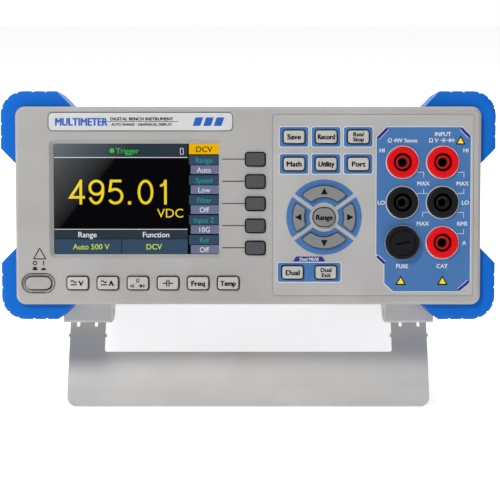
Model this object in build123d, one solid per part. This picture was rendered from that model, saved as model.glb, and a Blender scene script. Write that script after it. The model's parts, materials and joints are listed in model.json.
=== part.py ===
from build123d import *
import math
import os

# Bench multimeter, standing on its tilt stand, as a set of separate pieces in millimetres.
#
# Every piece is drawn in the case's own frame: X to the right and Z up from the centre of the front
# panel's face, and Y back into the case. At the end the whole instrument is leaned back onto its
# stand and its rear feet, and moved so that the origin is the bottom centre of its box.

# ---- Case ----
PANEL_W, PANEL_H = 221.0, 94.0  # front and rear panels, seen from the front
PANEL_R = 4.5  # corner radius of both panels
PANEL_DEPTH = 20.0
PANEL_WALL = 3.0
PANEL_BEVEL = 1.5
SHEET = 1.2  # steel sheet of the cover and the tray
SLEEVE_W, SLEEVE_H = PANEL_W - 1.4, PANEL_H - 1.4
SLEEVE_FRONT = PANEL_DEPTH + 0.2
SLEEVE_BACK = 276.0
FACE = PANEL_WALL  # back of the front panel's face
LIP_X = 100.0  # half width of the opening between the cover's bottom lips
TRAY_BOTTOM = -SLEEVE_H / 2 + SHEET + 0.1
TRAY_FRONT, TRAY_BACK = 26.0, 270.8
TRAY_SIDE = 14.0  # how far the tray's sides are turned up
TONGUE_GAP = 0.2  # between the cover and the tongues of both panels
TONGUE_WALL = 1.9
TONGUE_R = 2.6
BOND = 0.5  # how far joined shapes reach into each other

# ---- Bumpers ----
BUMPER_W, BUMPER_H = 237.0, 109.4
BUMPER_ARM = 27.0  # from the outer edge to where the arm's end is cut at 45 degrees
BUMPER_R = 11.4
BUMPER_ROUND = 3.0  # rounding of the front and back outer edges
FRONT_BUMPER = (4.0, 38.0)  # from and to, along Y
REAR_BUMPER = (257.0, 292.0)
GROOVE_AT = (15.6, 21.7)  # grooves along each arm, from the outer edge
GROOVE_ANGLES = (18.0, 45.0, 72.0)  # grooves round the corner
GROOVE_DEEP = 0.95
SQUARE_ON_EDGE = 45.0

# ---- Display ----
LCD_X, LCD_Z = -53.2, 3.2
LCD_W, LCD_H = 78.6, 52.6
DISPLAY_BEVEL = 1.9
DISPLAY_R = 2.8
WINDOW_MARGIN = 1.6  # how far the window reaches past the screen on each side
LCD_MARGIN_X, LCD_MARGIN_Z = 4.0, 3.5  # the same for the display module's case
LCD_GLASS = 0.5
LINE_X, LINE_LONG, LINE_WIDE, LINE_DEEP = -7.0, 11.2, 0.6, 0.3  # grooves to the softkeys

# ---- Labels let into the panel ----
OVERLAY_X, OVERLAY_Z = 59.2, 0.2
OVERLAY_W, OVERLAY_H, OVERLAY_R = 95.4, 86.2, 1.7
OVERLAY_POCKET = 0.5
OVERLAY_THICK = 0.4
OVERLAY_FACE = OVERLAY_POCKET - OVERLAY_THICK
TITLE_X, TITLE_Z = -51.0, 39.8
TITLE_W, TITLE_H, TITLE_R = 87.8, 9.2, 2.3
LABEL_GAP = 0.15  # round the overlay in its pocket
TITLE_GAP = 0.2

# ---- Keys ----
KEY_W, KEY_H, KEY_R = 9.7, 5.8, 1.1
SOFT_W, SOFT_H = 8.8, 5.8
KEY_PROUD = 1.7  # how far a key stands out of the panel
KEY_ROUND = 0.5
KEY_GAP = 0.3  # between a key and its hole
KEY_FLANGE = 0.9  # the rim that holds a key in, behind the panel
KEY_TRAVEL = 0.8
FLANGE_FRONT, FLANGE_BACK = FACE + 0.1, FACE + 1.1
GROUPS = {
    "softkey": [(f"{n + 1}", 3.4, 22.0 - 10.5 * n) for n in range(5)],
    "function": [
        (name, -81.0 + 14.3 * n, -36.7)
        for n, name in enumerate(
            ("volts", "amps", "ohms", "capacitance", "frequency", "temperature")
        )
    ],
    "menu": [
        (name, 21.7 + 15.2 * (n % 3), 32.6 - 12.8 * (n // 3))
        for n, name in enumerate(("save", "record", "run_stop", "math", "utility", "port"))
    ],
    "dual": [("dual", 21.1, -31.6), ("dual_exit", 36.9, -31.6)],
}
PAD_X, PAD_Z = 36.0, -5.4  # centre of the arrow keys
ARROW_IN, ARROW_OUT = 9.5, 14.8
DIAGONAL = 36.0  # slope of the lines between the arrow keys, in degrees
ARROW_CORNER = 1.0
ARROW_SIDE = 2.2  # from an arrow key's side to the middle of that line
RANGE_W, RANGE_H, RANGE_R = 10.2, 8.6, 4.2
POWER_X, POWER_Z = -99.8, -36.8
POWER_W, POWER_H = 12.2, 5.8
POWER_OUT = 2.2  # travel from the latched position out to off
POWER_PROUD, POWER_ROUND = 0.6, 0.7
POWER_RIM = 0.9  # the rim that holds the button in, behind the panel
POWER_GAP = 0.45
POWER_DISH, POWER_DISH_DEEP = 1.7, 1.3  # the bevelled hollow round the button
POWER_STEM, POWER_STEM_BACK = 4.0, 11.5
SWITCH_BOX, SWITCH_LONG, SWITCH_WELL, SWITCH_WELL_DEEP = 8.0, 14.0, 4.6, 4.0

# ---- Input sockets and fuse ----
SOCKET_PITCH = 19.05
SENSE_X, INPUT_X = 73.1, 73.1 + SOCKET_PITCH
HIGH_Z = 20.6
LOW_Z, AMPS_Z = HIGH_Z - SOCKET_PITCH, HIGH_Z - 2 * SOCKET_PITCH
RED_SOCKETS = [(SENSE_X, HIGH_Z), (INPUT_X, HIGH_Z), (INPUT_X, AMPS_Z)]
BLACK_SOCKETS = [(SENSE_X, LOW_Z), (INPUT_X, LOW_Z)]
SOCKET_RIM_R, SOCKET_BODY_R = 7.5, 6.0
SOCKET_WELL_R, SOCKET_POST_R = 4.4, 3.15
SOCKET_BORE_R = 2.0
SOCKET_FRONT, SOCKET_BACK = -1.6, 26.0
SOCKET_ROUND = 0.9
POST_FRONT = SOCKET_FRONT + 1.0  # the post stands back from the rim
POST_PLAY = 0.5
WELL_BACK = 19.0
CONTACT_R = 2.6
CONTACT_FRONT, CONTACT_BACK = 1.5, 30.0
BORE_BACK = 22.0
FUSE_X, FUSE_Z = SENSE_X, AMPS_Z
FUSE_RIM_R, FUSE_BODY_R, FUSE_BORE_R = 8.1, 7.0, 5.3
FUSE_BACK = 38.0
FUSE_RIM_FRONT, FUSE_RIM_ROUND = -1.2, 0.4
FUSE_CAP_FRONT, FUSE_CAP_BACK = -3.4, -1.3
FUSE_CAP_ROUND = 0.5
FUSE_PLAY = 0.2
FUSE_DIAL = (5.6, 6.2, 0.5)  # inner radius, outer radius and depth of the ring in the cap
FUSE_SLOT_LONG, FUSE_SLOT_WIDE, FUSE_SLOT_DEEP, FUSE_SLOT_TURN = 7.0, 1.1, 1.0, 8.0
KNURL_COUNT, KNURL_R = 36, 0.32
STEM_BACK = 5.0
SPIGOT_R, SPIGOT_BACK = 2.0, 8.0  # the cap's end, which turns in the carrier
CARRIER_FRONT, CARRIER_BACK = 5.2, 34.5
FUSE_LINK_FRONT, FUSE_LINK_LONG = 12.3, 20.0
FUSE_GLASS_R, FUSE_END_R, FUSE_END_LONG = 2.35, 2.6, 5.0

# ---- Tilt stand ----
HINGE_Y, HINGE_Z = 49.5, -54.7
STAND_LEAN = 22.0  # forward of straight down, at its stop
STAND_W, STAND_SHEET = 182.3, 2.0
ARM_W = 18.0
WINDOW_DEEP = 21.9  # hinge axis to the top edge of the cross plate
BEND_AT = 40.4  # hinge axis to the bend of the foot lip
LIP_LONG = 9.3
LIP_BEND = 14.0
STAND_R, WINDOW_R = 4.4, 1.4
BARREL_R, PIN_R = 3.5, 1.48
BRACKET_IN, BRACKET_OUT = 69.6, 93.7
BRACKET_FRONT, BRACKET_BACK = 39.0, 61.4
FOOT_BOTTOM = -59.7  # the brackets and the rear feet stand this low
FOOT_ROUND = STAND_SHEET / 2  # the same on the stand's edge and the feet, so one line touches both
REAR_FOOT_BACK = 268.0

BRACKET_TOP = TRAY_BOTTOM
BRACKET_WALL = 3.4
BRACKET_ROUND = 1.5
BRACKET_CURVE = 11.0
LEDGE_GAP = 3.15  # hinge axis to the tip of the ledge that the stand leans on
LEDGE_HIGH, LEDGE_LOW = 2.0, 4.2  # how far below the hinge axis the ledge's slope starts and ends
LEDGE_DRAFT = 0.3
PIN_PLAY = 0.05
PIN_HOLD = 0.02
PIN_SHORT = 0.5  # from the bracket's outer face to the pin's end
ARM_PLAY = 0.35
SLIT_X, SLIT_DEEP, SLIT_WIDE = (77.9, 87.1), 8.6, 1.7
NUB_AT, NUB_R = 13.1, 0.8
REAR_FOOT_X, REAR_FOOT_WIDE, REAR_FOOT_LONG = 68.0, 24.0, 20.0
REAR_FOOT_R = 3.0

# ---- Cooling slots in the cover ----
VENT_START, VENT_PITCH, VENT_COUNT = 185.0, 6.0, 10
VENT_ROWS = (-17.0, 17.0)
VENT_LONG, VENT_WIDE = 26.0, 2.6
FLOOR_VENT_Y, FLOOR_VENT_PITCH, FLOOR_VENT_COUNT = 105.0, 10.0, 9
FLOOR_VENT_LONG, FLOOR_VENT_WIDE = 36.0, 3.0

# ---- Inside ----
BOARD_THICK = 1.6
KEY_BOARD_X, KEY_BOARD_Y, KEY_BOARD_Z = -21.5, 8.45, -0.5
KEY_BOARD_W, KEY_BOARD_H = 169.0, 82.0
KEY_POST_R = 2.6
KEY_POSTS = [(x, z) for x in (-104.0, 60.8) for z in (-26.0, 38.0)]
SWITCH_SIDE, SWITCH_TIP_R, SWITCH_TIP_HIGH, SWITCH_GAP = 5.2, 1.7, 0.5, 0.05
MAIN_BOARD_Z = -38.0
MAIN_BOARD_WIDE, MAIN_BOARD_LONG = 138.0, 190.0
BOARD_POST_X = (-26.0, 100.0)
BOARD_POST_Y = (60.0, 150.0, 235.0)
BOARD_POST_R = 3.0
RELAY_X, RELAY_Y, RELAY_PITCH, RELAY_COUNT = 80.0, 55.0, 22.0, 4
RELAY_SIZE = (20.0, 10.0, 10.0)
CHIPS = [(35.0, 95.0, 24.0, 24.0), (5.0, 60.0, 14.0, 20.0), (40.0, 150.0, 16.0, 16.0)]
CHIP_HIGH = 2.4
CAPACITOR_R, CAPACITOR_HIGH, CAPACITOR_PITCH, CAPACITOR_COUNT = 6.0, 22.0, 16.0, 3
CAPACITOR_Y = 200.0
SINK_X, SINK_Y = 78.0, 165.0
SINK_SIZE = (4.0, 46.0, 26.0)
CORE_X, CORE_Y = -70.0, 150.0
CORE_WIDE, CORE_LONG, CORE_HIGH = 26.0, 62.0, 52.0
CORE_WINDOW_Y, CORE_WINDOW_LONG, CORE_WINDOW_HIGH = 14.0, 14.0, 32.0
WINDING_WIDE, WINDING_GAP = 42.0, 0.4

# ---- Back ----
REAR_FACE = 281.0
REAR_BEVEL = 1.0
WINDOW_GAP = 0.4  # a rear window is this much larger than what stands in it
INLET_X, INLET_Z = -76.0, 4.0
INLET_W, INLET_H = 30.0, 44.0
INLET_FRONT = 262.0
FLANGE_THICK, FLANGE_MARGIN, FLANGE_R = 2.5, 2.5, 2.0
CAVITY_W, CAVITY_H, CAVITY_DEEP = 24.4, 16.8, 15.0
CAVITY_Z = INLET_Z + 9.0
CAVITY_CUT = 4.5  # the two cut corners of the cavity
MAINS_PINS = [(0.0, 2.0), (-7.0, -2.0), (7.0, -2.0)]
MAINS_PIN_WIDE, MAINS_PIN_HIGH, MAINS_PIN_SHORT = 2.0, 4.0, 5.5
DRAWER_W, DRAWER_H, DRAWER_Z = 22.0, 10.0, INLET_Z - 13.0
DRAWER_FRONT = 266.0
DRAWER_GAP = 0.3
DRAWER_PROUD = 3.2
DRAWER_WALL = 1.5
DRAWER_TROUGH, DRAWER_FLOOR = 10.0, 3.0
TAB_WIDE, TAB_LONG, TAB_HIGH = 10.0, 1.6, 2.0
SERIAL_X, SERIAL_Z = -2.0, -18.0
SERIAL_WIDE, SERIAL_HIGH = 19.0, 10.0
SERIAL_PLATE = (30.6, 12.4, 1.5)  # width, height and corner radius
SERIAL_PLATE_THICK, SERIAL_WALL, SERIAL_PROUD = 0.9, 0.6, 6.0
SHELL_TOP, SHELL_BOTTOM, SHELL_HALF, SHELL_R = 8.6, 7.2, 4.2, 1.6
PIN_PITCH, PIN_ROW, SERIAL_PIN_R, SERIAL_PIN_PROUD = 2.77, 1.4, 0.5, 4.8
JACK_SCREW_X, JACK_SCREW_R, JACK_SCREW_PROUD, JACK_HOLE_R = 12.5, 2.7, 5.0, 1.3
LAN_X, LAN_Z = 34.0, -16.0
LAN_WIDE, LAN_HIGH = 15.8, 13.4
LAN_HOLE_W, LAN_HOLE_H, LAN_DEEP = 11.8, 7.6, 12.0
LAN_KEY_W, LAN_KEY_H, LAN_KEY_DOWN = 6.2, 3.0, 5.0
USB_X, USB_Z = 58.0, -17.0
USB_WIDE, USB_HIGH = 12.0, 11.0
USB_HOLE_W, USB_HOLE_H, USB_HOLE_R, USB_DEEP = 8.6, 7.8, 1.2, 8.0
USB_TONGUE_W, USB_TONGUE_H, USB_TONGUE_SHORT = 5.6, 3.2, 0.6
PORT_PROUD = 0.8  # how far the network and USB sockets stand out of the rear panel
REAR_WINDOWS = [
    (SERIAL_X, SERIAL_Z, SERIAL_WIDE, SERIAL_HIGH),
    (LAN_X, LAN_Z, LAN_WIDE, LAN_HIGH),
    (USB_X, USB_Z, USB_WIDE, USB_HIGH),
]
REAR_SCREWS = [(x, z) for x in (-101.0, 101.0) for z in (-37.0, 37.0)]
SCREW_R, SCREW_HEAD_R, SCREW_HEAD_HIGH, SCREW_ROUND = 1.5, 3.0, 1.8, 0.8
CROSS_LONG, CROSS_WIDE, CROSS_DEEP = 3.4, 0.7, 1.0
BOSS_R, BOSS_LONG = 3.4, 7.0
BNC_R = 5.5
BNC_X, BNC_HEIGHTS = 84.0, (14.0, -14.0)
BNC_NUT_R, BNC_NUT_THICK = 7.6, 2.2
BNC_SHELL_R, BNC_HOLLOW_R, BNC_PROUD = 4.8, 4.1, 10.5
BNC_LUGS = (11.0, 2.0, 2.0)
BNC_LUGS_PROUD = 8.0
BNC_CORE_R, BNC_CORE_PROUD, BNC_CONTACT_R, BNC_CONTACT_DEEP = 2.3, 9.0, 0.7, 4.0
BNC_FLOOR = 3.0


# ---- Helpers ----
HOLE = (Align.CENTER, Align.CENTER, Align.MIN)  # a cylinder that starts at its own base


def facing(y):
    """A drawing plane across the case at depth y, with X to the right and Z up."""
    return Plane(origin=(0, y, 0), x_dir=(1, 0, 0), z_dir=(0, -1, 0))


def prism(outline, front, back, taper=0):
    """An outline in X and Z, filled from depth front to depth back."""
    return extrude(facing(front) * outline, amount=-(back - front), taper=taper)


def side_prism(outline, left, right):
    """An outline in Y and Z, filled from left to right along X."""
    plane = Plane(origin=(left, 0, 0), x_dir=(0, 1, 0), z_dir=(1, 0, 0))
    return extrude(plane * outline, amount=right - left)


def at(x, z, outline):
    return Pos(x, z) * outline


def across(left, y, z, radius, length):
    """A cylinder along X, from its left end."""
    return Pos(left, y, z) * Rot(0, 90, 0) * Cylinder(radius, length, align=HOLE)


def rod(x, z, radius, front, back):
    return prism(at(x, z, Circle(radius)), front, back)


def slab(x, y, z, dx, dy, dz):
    """A box given by its centre and its size."""
    return Pos(x, y, z) * Box(dx, dy, dz)


def front_edges(shape):
    return shape.faces().sort_by(Axis.Y)[0].edges()


def back_edges(shape):
    return shape.faces().sort_by(Axis.Y)[-1].edges()


def both_sides(shape):
    return [shape, mirror(shape, about=Plane.YZ)]


def both_up_and_down(shape):
    return [shape, mirror(shape, about=Plane.XY)]


def group(shapes):
    """Several separate solids as one node."""
    return Compound([solid for shape in shapes for solid in shape.solids()])


# ---- Key outlines ----
def wedge(direction):
    """The quarter between the two diagonals that holds the arrow key pointing that way."""
    slope = math.radians(DIAGONAL)
    reach = 2 * ARROW_OUT
    run, rise = reach * math.cos(slope), reach * math.sin(slope)
    if direction in ("up", "down"):
        apex = ARROW_SIDE / math.cos(slope)
        points = [(0, apex), (run, apex + rise), (-run, apex + rise)]
    else:
        apex = ARROW_SIDE / math.sin(slope)
        points = [(apex, 0), (apex + run, -rise), (apex + run, rise)]
    if direction in ("down", "left"):
        points = [(-x, -z) for x, z in points]
    return make_face(Polyline(*points, close=True))


def arrow_outline(direction):
    ring = Circle(ARROW_OUT) - Circle(ARROW_IN)
    outline = ring & wedge(direction)
    return at(PAD_X, PAD_Z, fillet(outline.vertices(), ARROW_CORNER))


def key_outlines():
    """Every key's node name, with its outline on the panel and the centre of its switch."""
    outlines = {}
    for family, keys in GROUPS.items():
        width, height = (SOFT_W, SOFT_H) if family == "softkey" else (KEY_W, KEY_H)
        for name, x, z in keys:
            node = f"softkey_{name}" if family == "softkey" else f"key_{name}"
            outlines[node] = (at(x, z, RectangleRounded(width, height, KEY_R)), (x, z))
    middle = (ARROW_IN + ARROW_OUT) / 2
    ways = {"up": (0, 1), "down": (0, -1), "left": (-1, 0), "right": (1, 0)}
    for name, (dx, dz) in ways.items():
        centre = (PAD_X + dx * middle, PAD_Z + dz * middle)
        outlines[f"key_{name}"] = (arrow_outline(name), centre)
    oval = at(PAD_X, PAD_Z, RectangleRounded(RANGE_W, RANGE_H, RANGE_R))
    outlines["key_range"] = (oval, (PAD_X, PAD_Z))
    return outlines


KEYS = key_outlines()


def key_cap(outline):
    cap = prism(outline, -KEY_PROUD, FLANGE_FRONT)
    cap = fillet(front_edges(cap), KEY_ROUND)
    return cap + prism(offset(outline, KEY_FLANGE), FLANGE_FRONT, FLANGE_BACK)


def power_slot(grown):
    """The power button's capsule outline, made wider and higher all round."""
    return at(POWER_X, POWER_Z, SlotOverall(POWER_W + 2 * grown, POWER_H + 2 * grown))


def power_button():
    """A push button that latches, with a square stem that reaches through the key board."""
    rim_front = FACE + POWER_OUT + 0.1
    cap = prism(power_slot(0), -POWER_PROUD, rim_front)
    cap = fillet(front_edges(cap), POWER_ROUND)
    rim = prism(power_slot(POWER_RIM), rim_front, rim_front + POWER_RIM)
    stem = at(POWER_X, POWER_Z, Rectangle(POWER_STEM, POWER_STEM))
    return cap + rim + prism(stem, rim_front, POWER_STEM_BACK)


# ---- Front ----
def tongue(front, back):
    """The ring behind a panel's edge that the cover slides over."""
    gap = 2 * (SHEET + TONGUE_GAP)
    outer = RectangleRounded(SLEEVE_W - gap, SLEEVE_H - gap, TONGUE_R)
    gap += 2 * TONGUE_WALL
    return prism(outer - RectangleRounded(SLEEVE_W - gap, SLEEVE_H - gap, 1.0), front, back)


def pierced(plate, grown):
    """A plate with the holes for the sockets and the fuse holder cut through it."""
    for x, z in RED_SOCKETS + BLACK_SOCKETS:
        plate -= rod(x, z, SOCKET_BODY_R + grown, -1, FACE + 1)
    return plate - rod(FUSE_X, FUSE_Z, FUSE_BODY_R + grown, -1, FACE + 1)


def front_panel():
    body = prism(RectangleRounded(PANEL_W, PANEL_H, PANEL_R), 0, PANEL_DEPTH)
    body = chamfer(front_edges(body), PANEL_BEVEL)
    wall = 2 * PANEL_WALL
    inside = RectangleRounded(PANEL_W - wall, PANEL_H - wall, PANEL_R - PANEL_WALL + 0.1)
    body -= prism(inside, FACE, PANEL_DEPTH)
    body += tongue(PANEL_DEPTH - 3, PANEL_DEPTH + 5)
    for x, z in KEY_POSTS:
        body += rod(x, z, KEY_POST_R, FACE - BOND, KEY_BOARD_Y)

    rim = RectangleRounded(LCD_W + 2 * DISPLAY_BEVEL, LCD_H + 2 * DISPLAY_BEVEL, DISPLAY_R)
    body -= prism(at(LCD_X, LCD_Z, rim), 0, DISPLAY_BEVEL, taper=45)
    seat = 2 * (WINDOW_MARGIN + 0.1)
    body -= prism(at(LCD_X, LCD_Z, Rectangle(LCD_W + seat, LCD_H + seat)), DISPLAY_BEVEL, FACE)
    for _, _, z in GROUPS["softkey"]:
        body -= prism(at(LINE_X, z + 0.1, Rectangle(LINE_LONG, LINE_WIDE)), 0, LINE_DEEP)

    pocket = RectangleRounded(OVERLAY_W, OVERLAY_H, OVERLAY_R)
    body -= prism(at(OVERLAY_X, OVERLAY_Z, pocket), 0, OVERLAY_POCKET)
    pocket = RectangleRounded(TITLE_W, TITLE_H, TITLE_R)
    body -= prism(at(TITLE_X, TITLE_Z, pocket), 0, OVERLAY_POCKET)

    for outline, _ in KEYS.values():
        body -= prism(offset(outline, KEY_GAP), -1, FACE + 1)
    body -= prism(power_slot(POWER_DISH), 0, POWER_DISH_DEEP, taper=45)
    body -= prism(power_slot(POWER_GAP), 0, FACE + 1)
    return pierced(body, 0.1)


def keypad_overlay():
    """The printed plate round the right-hand keys and the sockets."""
    gap = 2 * LABEL_GAP
    outline = RectangleRounded(OVERLAY_W - gap, OVERLAY_H - gap, OVERLAY_R - 0.1)
    plate = prism(at(OVERLAY_X, OVERLAY_Z, outline), OVERLAY_FACE, OVERLAY_POCKET)
    for node, (key, _) in KEYS.items():
        if not node.startswith("softkey") and key.center().X > OVERLAY_X - OVERLAY_W / 2:
            plate -= prism(offset(key, KEY_GAP), -1, FACE)
    return pierced(plate, 0.1)


def title_plate():
    gap = 2 * TITLE_GAP
    outline = RectangleRounded(TITLE_W - gap, TITLE_H - gap, TITLE_R - TITLE_GAP)
    return prism(at(TITLE_X, TITLE_Z, outline), OVERLAY_FACE, OVERLAY_POCKET)


def display_window():
    margin = 2 * WINDOW_MARGIN
    outline = at(LCD_X, LCD_Z, Rectangle(LCD_W + margin, LCD_H + margin))
    return prism(outline, DISPLAY_BEVEL, FACE)


def lcd_module():
    front = FACE + 0.1
    case = RectangleRounded(LCD_W + 2 * LCD_MARGIN_X, LCD_H + 2 * LCD_MARGIN_Z, 1.0)
    glass = at(LCD_X, LCD_Z, Rectangle(LCD_W + 2, LCD_H + 2))
    module = prism(at(LCD_X, LCD_Z, case), front + LCD_GLASS, KEY_BOARD_Y)
    return module + prism(glass, front, front + LCD_GLASS)


def key_board():
    """The key board and its switches, one solid each."""
    back = KEY_BOARD_Y + BOARD_THICK
    board = prism(at(KEY_BOARD_X, KEY_BOARD_Z, Rectangle(KEY_BOARD_W, KEY_BOARD_H)), KEY_BOARD_Y, back)
    hole = POWER_STEM + 1
    board -= prism(at(POWER_X, POWER_Z, Rectangle(hole, hole)), KEY_BOARD_Y, back)
    solids = [board]
    tip = FLANGE_BACK + KEY_TRAVEL + SWITCH_GAP
    shoulder = tip + SWITCH_TIP_HIGH
    for _, (x, z) in KEYS.values():
        switch = prism(at(x, z, Rectangle(SWITCH_SIDE, SWITCH_SIDE)), shoulder, KEY_BOARD_Y)
        solids.append(switch + rod(x, z, SWITCH_TIP_R, tip, shoulder))
    return group(solids)


def power_switch():
    back = KEY_BOARD_Y + BOARD_THICK
    body = prism(at(POWER_X, POWER_Z, Rectangle(SWITCH_BOX, SWITCH_BOX)), back, back + SWITCH_LONG)
    well = at(POWER_X, POWER_Z, Rectangle(SWITCH_WELL, SWITCH_WELL))
    return body - prism(well, back, back + SWITCH_WELL_DEEP)


def input_socket(x, z):
    """A shrouded socket for a 4 mm plug: rim, barrel, and a post round the contact."""
    rim = rod(x, z, SOCKET_RIM_R, SOCKET_FRONT, OVERLAY_FACE)
    rim = fillet(front_edges(rim), SOCKET_ROUND)
    body = rim + rod(x, z, SOCKET_BODY_R, OVERLAY_FACE, SOCKET_BACK)
    well = at(x, z, Circle(SOCKET_WELL_R) - Circle(SOCKET_POST_R))
    body -= prism(well, SOCKET_FRONT, WELL_BACK)
    body -= rod(x, z, SOCKET_BORE_R + POST_PLAY, SOCKET_FRONT, CONTACT_FRONT)
    body -= rod(x, z, SOCKET_POST_R + 0.1, SOCKET_FRONT, POST_FRONT)
    return body - rod(x, z, CONTACT_R + 0.02, CONTACT_FRONT, SOCKET_BACK)


def jack_contact(x, z):
    tube = rod(x, z, CONTACT_R, CONTACT_FRONT, CONTACT_BACK)
    return tube - rod(x, z, SOCKET_BORE_R, CONTACT_FRONT, BORE_BACK)


def fuse_rod(radius, front, back):
    return rod(FUSE_X, FUSE_Z, radius, front, back)


def fuse_holder():
    body = fuse_rod(FUSE_RIM_R, FUSE_RIM_FRONT, OVERLAY_FACE)
    body = fillet(front_edges(body), FUSE_RIM_ROUND)
    body += fuse_rod(FUSE_BODY_R, OVERLAY_FACE, FUSE_BACK)
    return body - fuse_rod(FUSE_BORE_R, FUSE_RIM_FRONT, FUSE_BACK - 1.5)


def fuse_cap():
    """The slotted cap, which turns a quarter turn to free the carrier."""
    cap = fuse_rod(FUSE_RIM_R - FUSE_PLAY, FUSE_CAP_FRONT, FUSE_CAP_BACK)
    cap = fillet(front_edges(cap), FUSE_CAP_ROUND)
    inner, outer, deep = FUSE_DIAL
    dial = at(FUSE_X, FUSE_Z, Circle(outer) - Circle(inner))
    cap -= prism(dial, FUSE_CAP_FRONT, FUSE_CAP_FRONT + deep)
    slot = Rot(0, 0, FUSE_SLOT_TURN) * Rectangle(FUSE_SLOT_LONG, FUSE_SLOT_WIDE)
    cap -= prism(at(FUSE_X, FUSE_Z, slot), FUSE_CAP_FRONT, FUSE_CAP_FRONT + FUSE_SLOT_DEEP)
    for n in range(KNURL_COUNT):
        turn = 2 * math.pi * n / KNURL_COUNT
        x = FUSE_X + (FUSE_RIM_R - 0.1) * math.cos(turn)
        z = FUSE_Z + (FUSE_RIM_R - 0.1) * math.sin(turn)
        cap -= rod(x, z, KNURL_R, FUSE_CAP_FRONT + FUSE_CAP_ROUND + 0.1, FUSE_CAP_BACK)
    stem = fuse_rod(FUSE_BORE_R - FUSE_PLAY, FUSE_CAP_BACK, STEM_BACK)
    return cap + stem + fuse_rod(SPIGOT_R, STEM_BACK, SPIGOT_BACK)


def fuse_carrier():
    body = fuse_rod(FUSE_BORE_R - FUSE_PLAY, CARRIER_FRONT, CARRIER_BACK)
    body -= fuse_rod(SPIGOT_R + 0.1, CARRIER_FRONT, SPIGOT_BACK + 0.4)
    body -= fuse_rod(FUSE_END_R + 0.1, FUSE_LINK_FRONT - 0.3, CARRIER_BACK)
    side_window = slab(FUSE_X, 23.5, FUSE_Z + 3.4, 4.6, 15.0, 6.8)
    return body - side_window


def fuse_link():
    back = FUSE_LINK_FRONT + FUSE_LINK_LONG
    link = fuse_rod(FUSE_GLASS_R, FUSE_LINK_FRONT, back)
    link += fuse_rod(FUSE_END_R, FUSE_LINK_FRONT, FUSE_LINK_FRONT + FUSE_END_LONG)
    return link + fuse_rod(FUSE_END_R, back - FUSE_END_LONG, back)


# ---- Case ----
def top_cover():
    """Steel wrap over the top and both sides, with lips turned under the bottom."""
    ring = RectangleRounded(SLEEVE_W, SLEEVE_H, 3.8)
    ring -= RectangleRounded(SLEEVE_W - 2 * SHEET, SLEEVE_H - 2 * SHEET, 2.6)
    ring -= at(0, -SLEEVE_H / 2, Rectangle(2 * LIP_X, 4 * SHEET))
    cover = prism(ring, SLEEVE_FRONT, SLEEVE_BACK)
    upright = Rot(0, 0, 90) * SlotOverall(VENT_LONG, VENT_WIDE)
    for row in VENT_ROWS:
        for n in range(VENT_COUNT):
            slot = Plane.YZ * (Pos(VENT_START + VENT_PITCH * n, row) * upright)
            cover -= extrude(slot, amount=PANEL_W, both=True)
    return cover


def tray_channel(width, bottom, corner):
    """A block of the tray's length with its two lower long edges rounded."""
    block = slab(
        0, (TRAY_FRONT + TRAY_BACK) / 2, bottom + TRAY_SIDE / 2,
        width, TRAY_BACK - TRAY_FRONT, TRAY_SIDE,
    )
    return fillet(block.edges().filter_by(Axis.Y).group_by(Axis.Z)[0], corner)


def chassis_tray():
    """A folded tray under everything, with posts for the main board and slots for air."""
    width = SLEEVE_W - 2 * SHEET - 0.4
    tray = tray_channel(width, TRAY_BOTTOM, 2.9)
    tray -= tray_channel(width - 2 * SHEET, TRAY_BOTTOM + SHEET, 1.7)
    height = MAIN_BOARD_Z - TRAY_BOTTOM - SHEET / 2
    for y in BOARD_POST_Y:
        for x in BOARD_POST_X:
            tray += Pos(x, y, MAIN_BOARD_Z - height / 2) * Cylinder(BOARD_POST_R, height)
    slot = Rot(0, 0, 90) * SlotOverall(FLOOR_VENT_LONG, FLOOR_VENT_WIDE)
    for n in range(FLOOR_VENT_COUNT):
        x = FLOOR_VENT_PITCH * (n - (FLOOR_VENT_COUNT - 1) / 2)
        cutter = extrude(Pos(x, FLOOR_VENT_Y) * slot, amount=2 * SHEET)
        tray -= Pos(0, 0, TRAY_BOTTOM - SHEET / 2) * cutter
    return tray


def corner_bumper(front, back):
    """The upper right bumper: an L round the corner, cut at 45 degrees, with grip grooves."""
    half_w, half_h = BUMPER_W / 2, BUMPER_H / 2
    thick_x, thick_z = half_w - PANEL_W / 2, half_h - PANEL_H / 2
    outline = make_face(
        Polyline(
            (half_w - BUMPER_ARM, half_h),
            (half_w, half_h),
            (half_w, half_h - BUMPER_ARM),
            (half_w - thick_x, half_h - BUMPER_ARM - thick_x),
            (half_w - thick_x, half_h - thick_z - PANEL_R),
            (half_w - thick_x - PANEL_R, half_h - thick_z),
            (half_w - BUMPER_ARM - thick_z, half_h - thick_z),
            close=True,
        )
    )
    corner = outline.vertices().sort_by(Axis((0, 0, 0), (1, 1, 0)))[-1]
    body = prism(fillet(corner, BUMPER_R), front, back)
    outer = [
        edge
        for edge in front_edges(body) + back_edges(body)
        if (edge @ 0.5).X > half_w - 0.01
        or (edge @ 0.5).Z > half_h - 0.01
        or edge.geom_type == GeomType.CIRCLE
    ]
    body = fillet(outer, BUMPER_ROUND)
    body -= prism(RectangleRounded(PANEL_W, PANEL_H, PANEL_R), front, back)
    side = GROOVE_DEEP * math.sqrt(2)
    groove = Rot(0, 0, SQUARE_ON_EDGE) * Rectangle(side, side)
    for along in GROOVE_AT:
        body -= prism(at(half_w - along, half_h, groove), front, back)
        body -= prism(at(half_w, half_h - along, groove), front, back)
    centre_x, centre_z = half_w - BUMPER_R, half_h - BUMPER_R
    for angle in GROOVE_ANGLES:
        turn = math.radians(angle)
        x = centre_x + BUMPER_R * math.cos(turn)
        z = centre_z + BUMPER_R * math.sin(turn)
        body -= prism(at(x, z, Rot(0, 0, angle) * groove), front, back)
    return body


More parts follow.
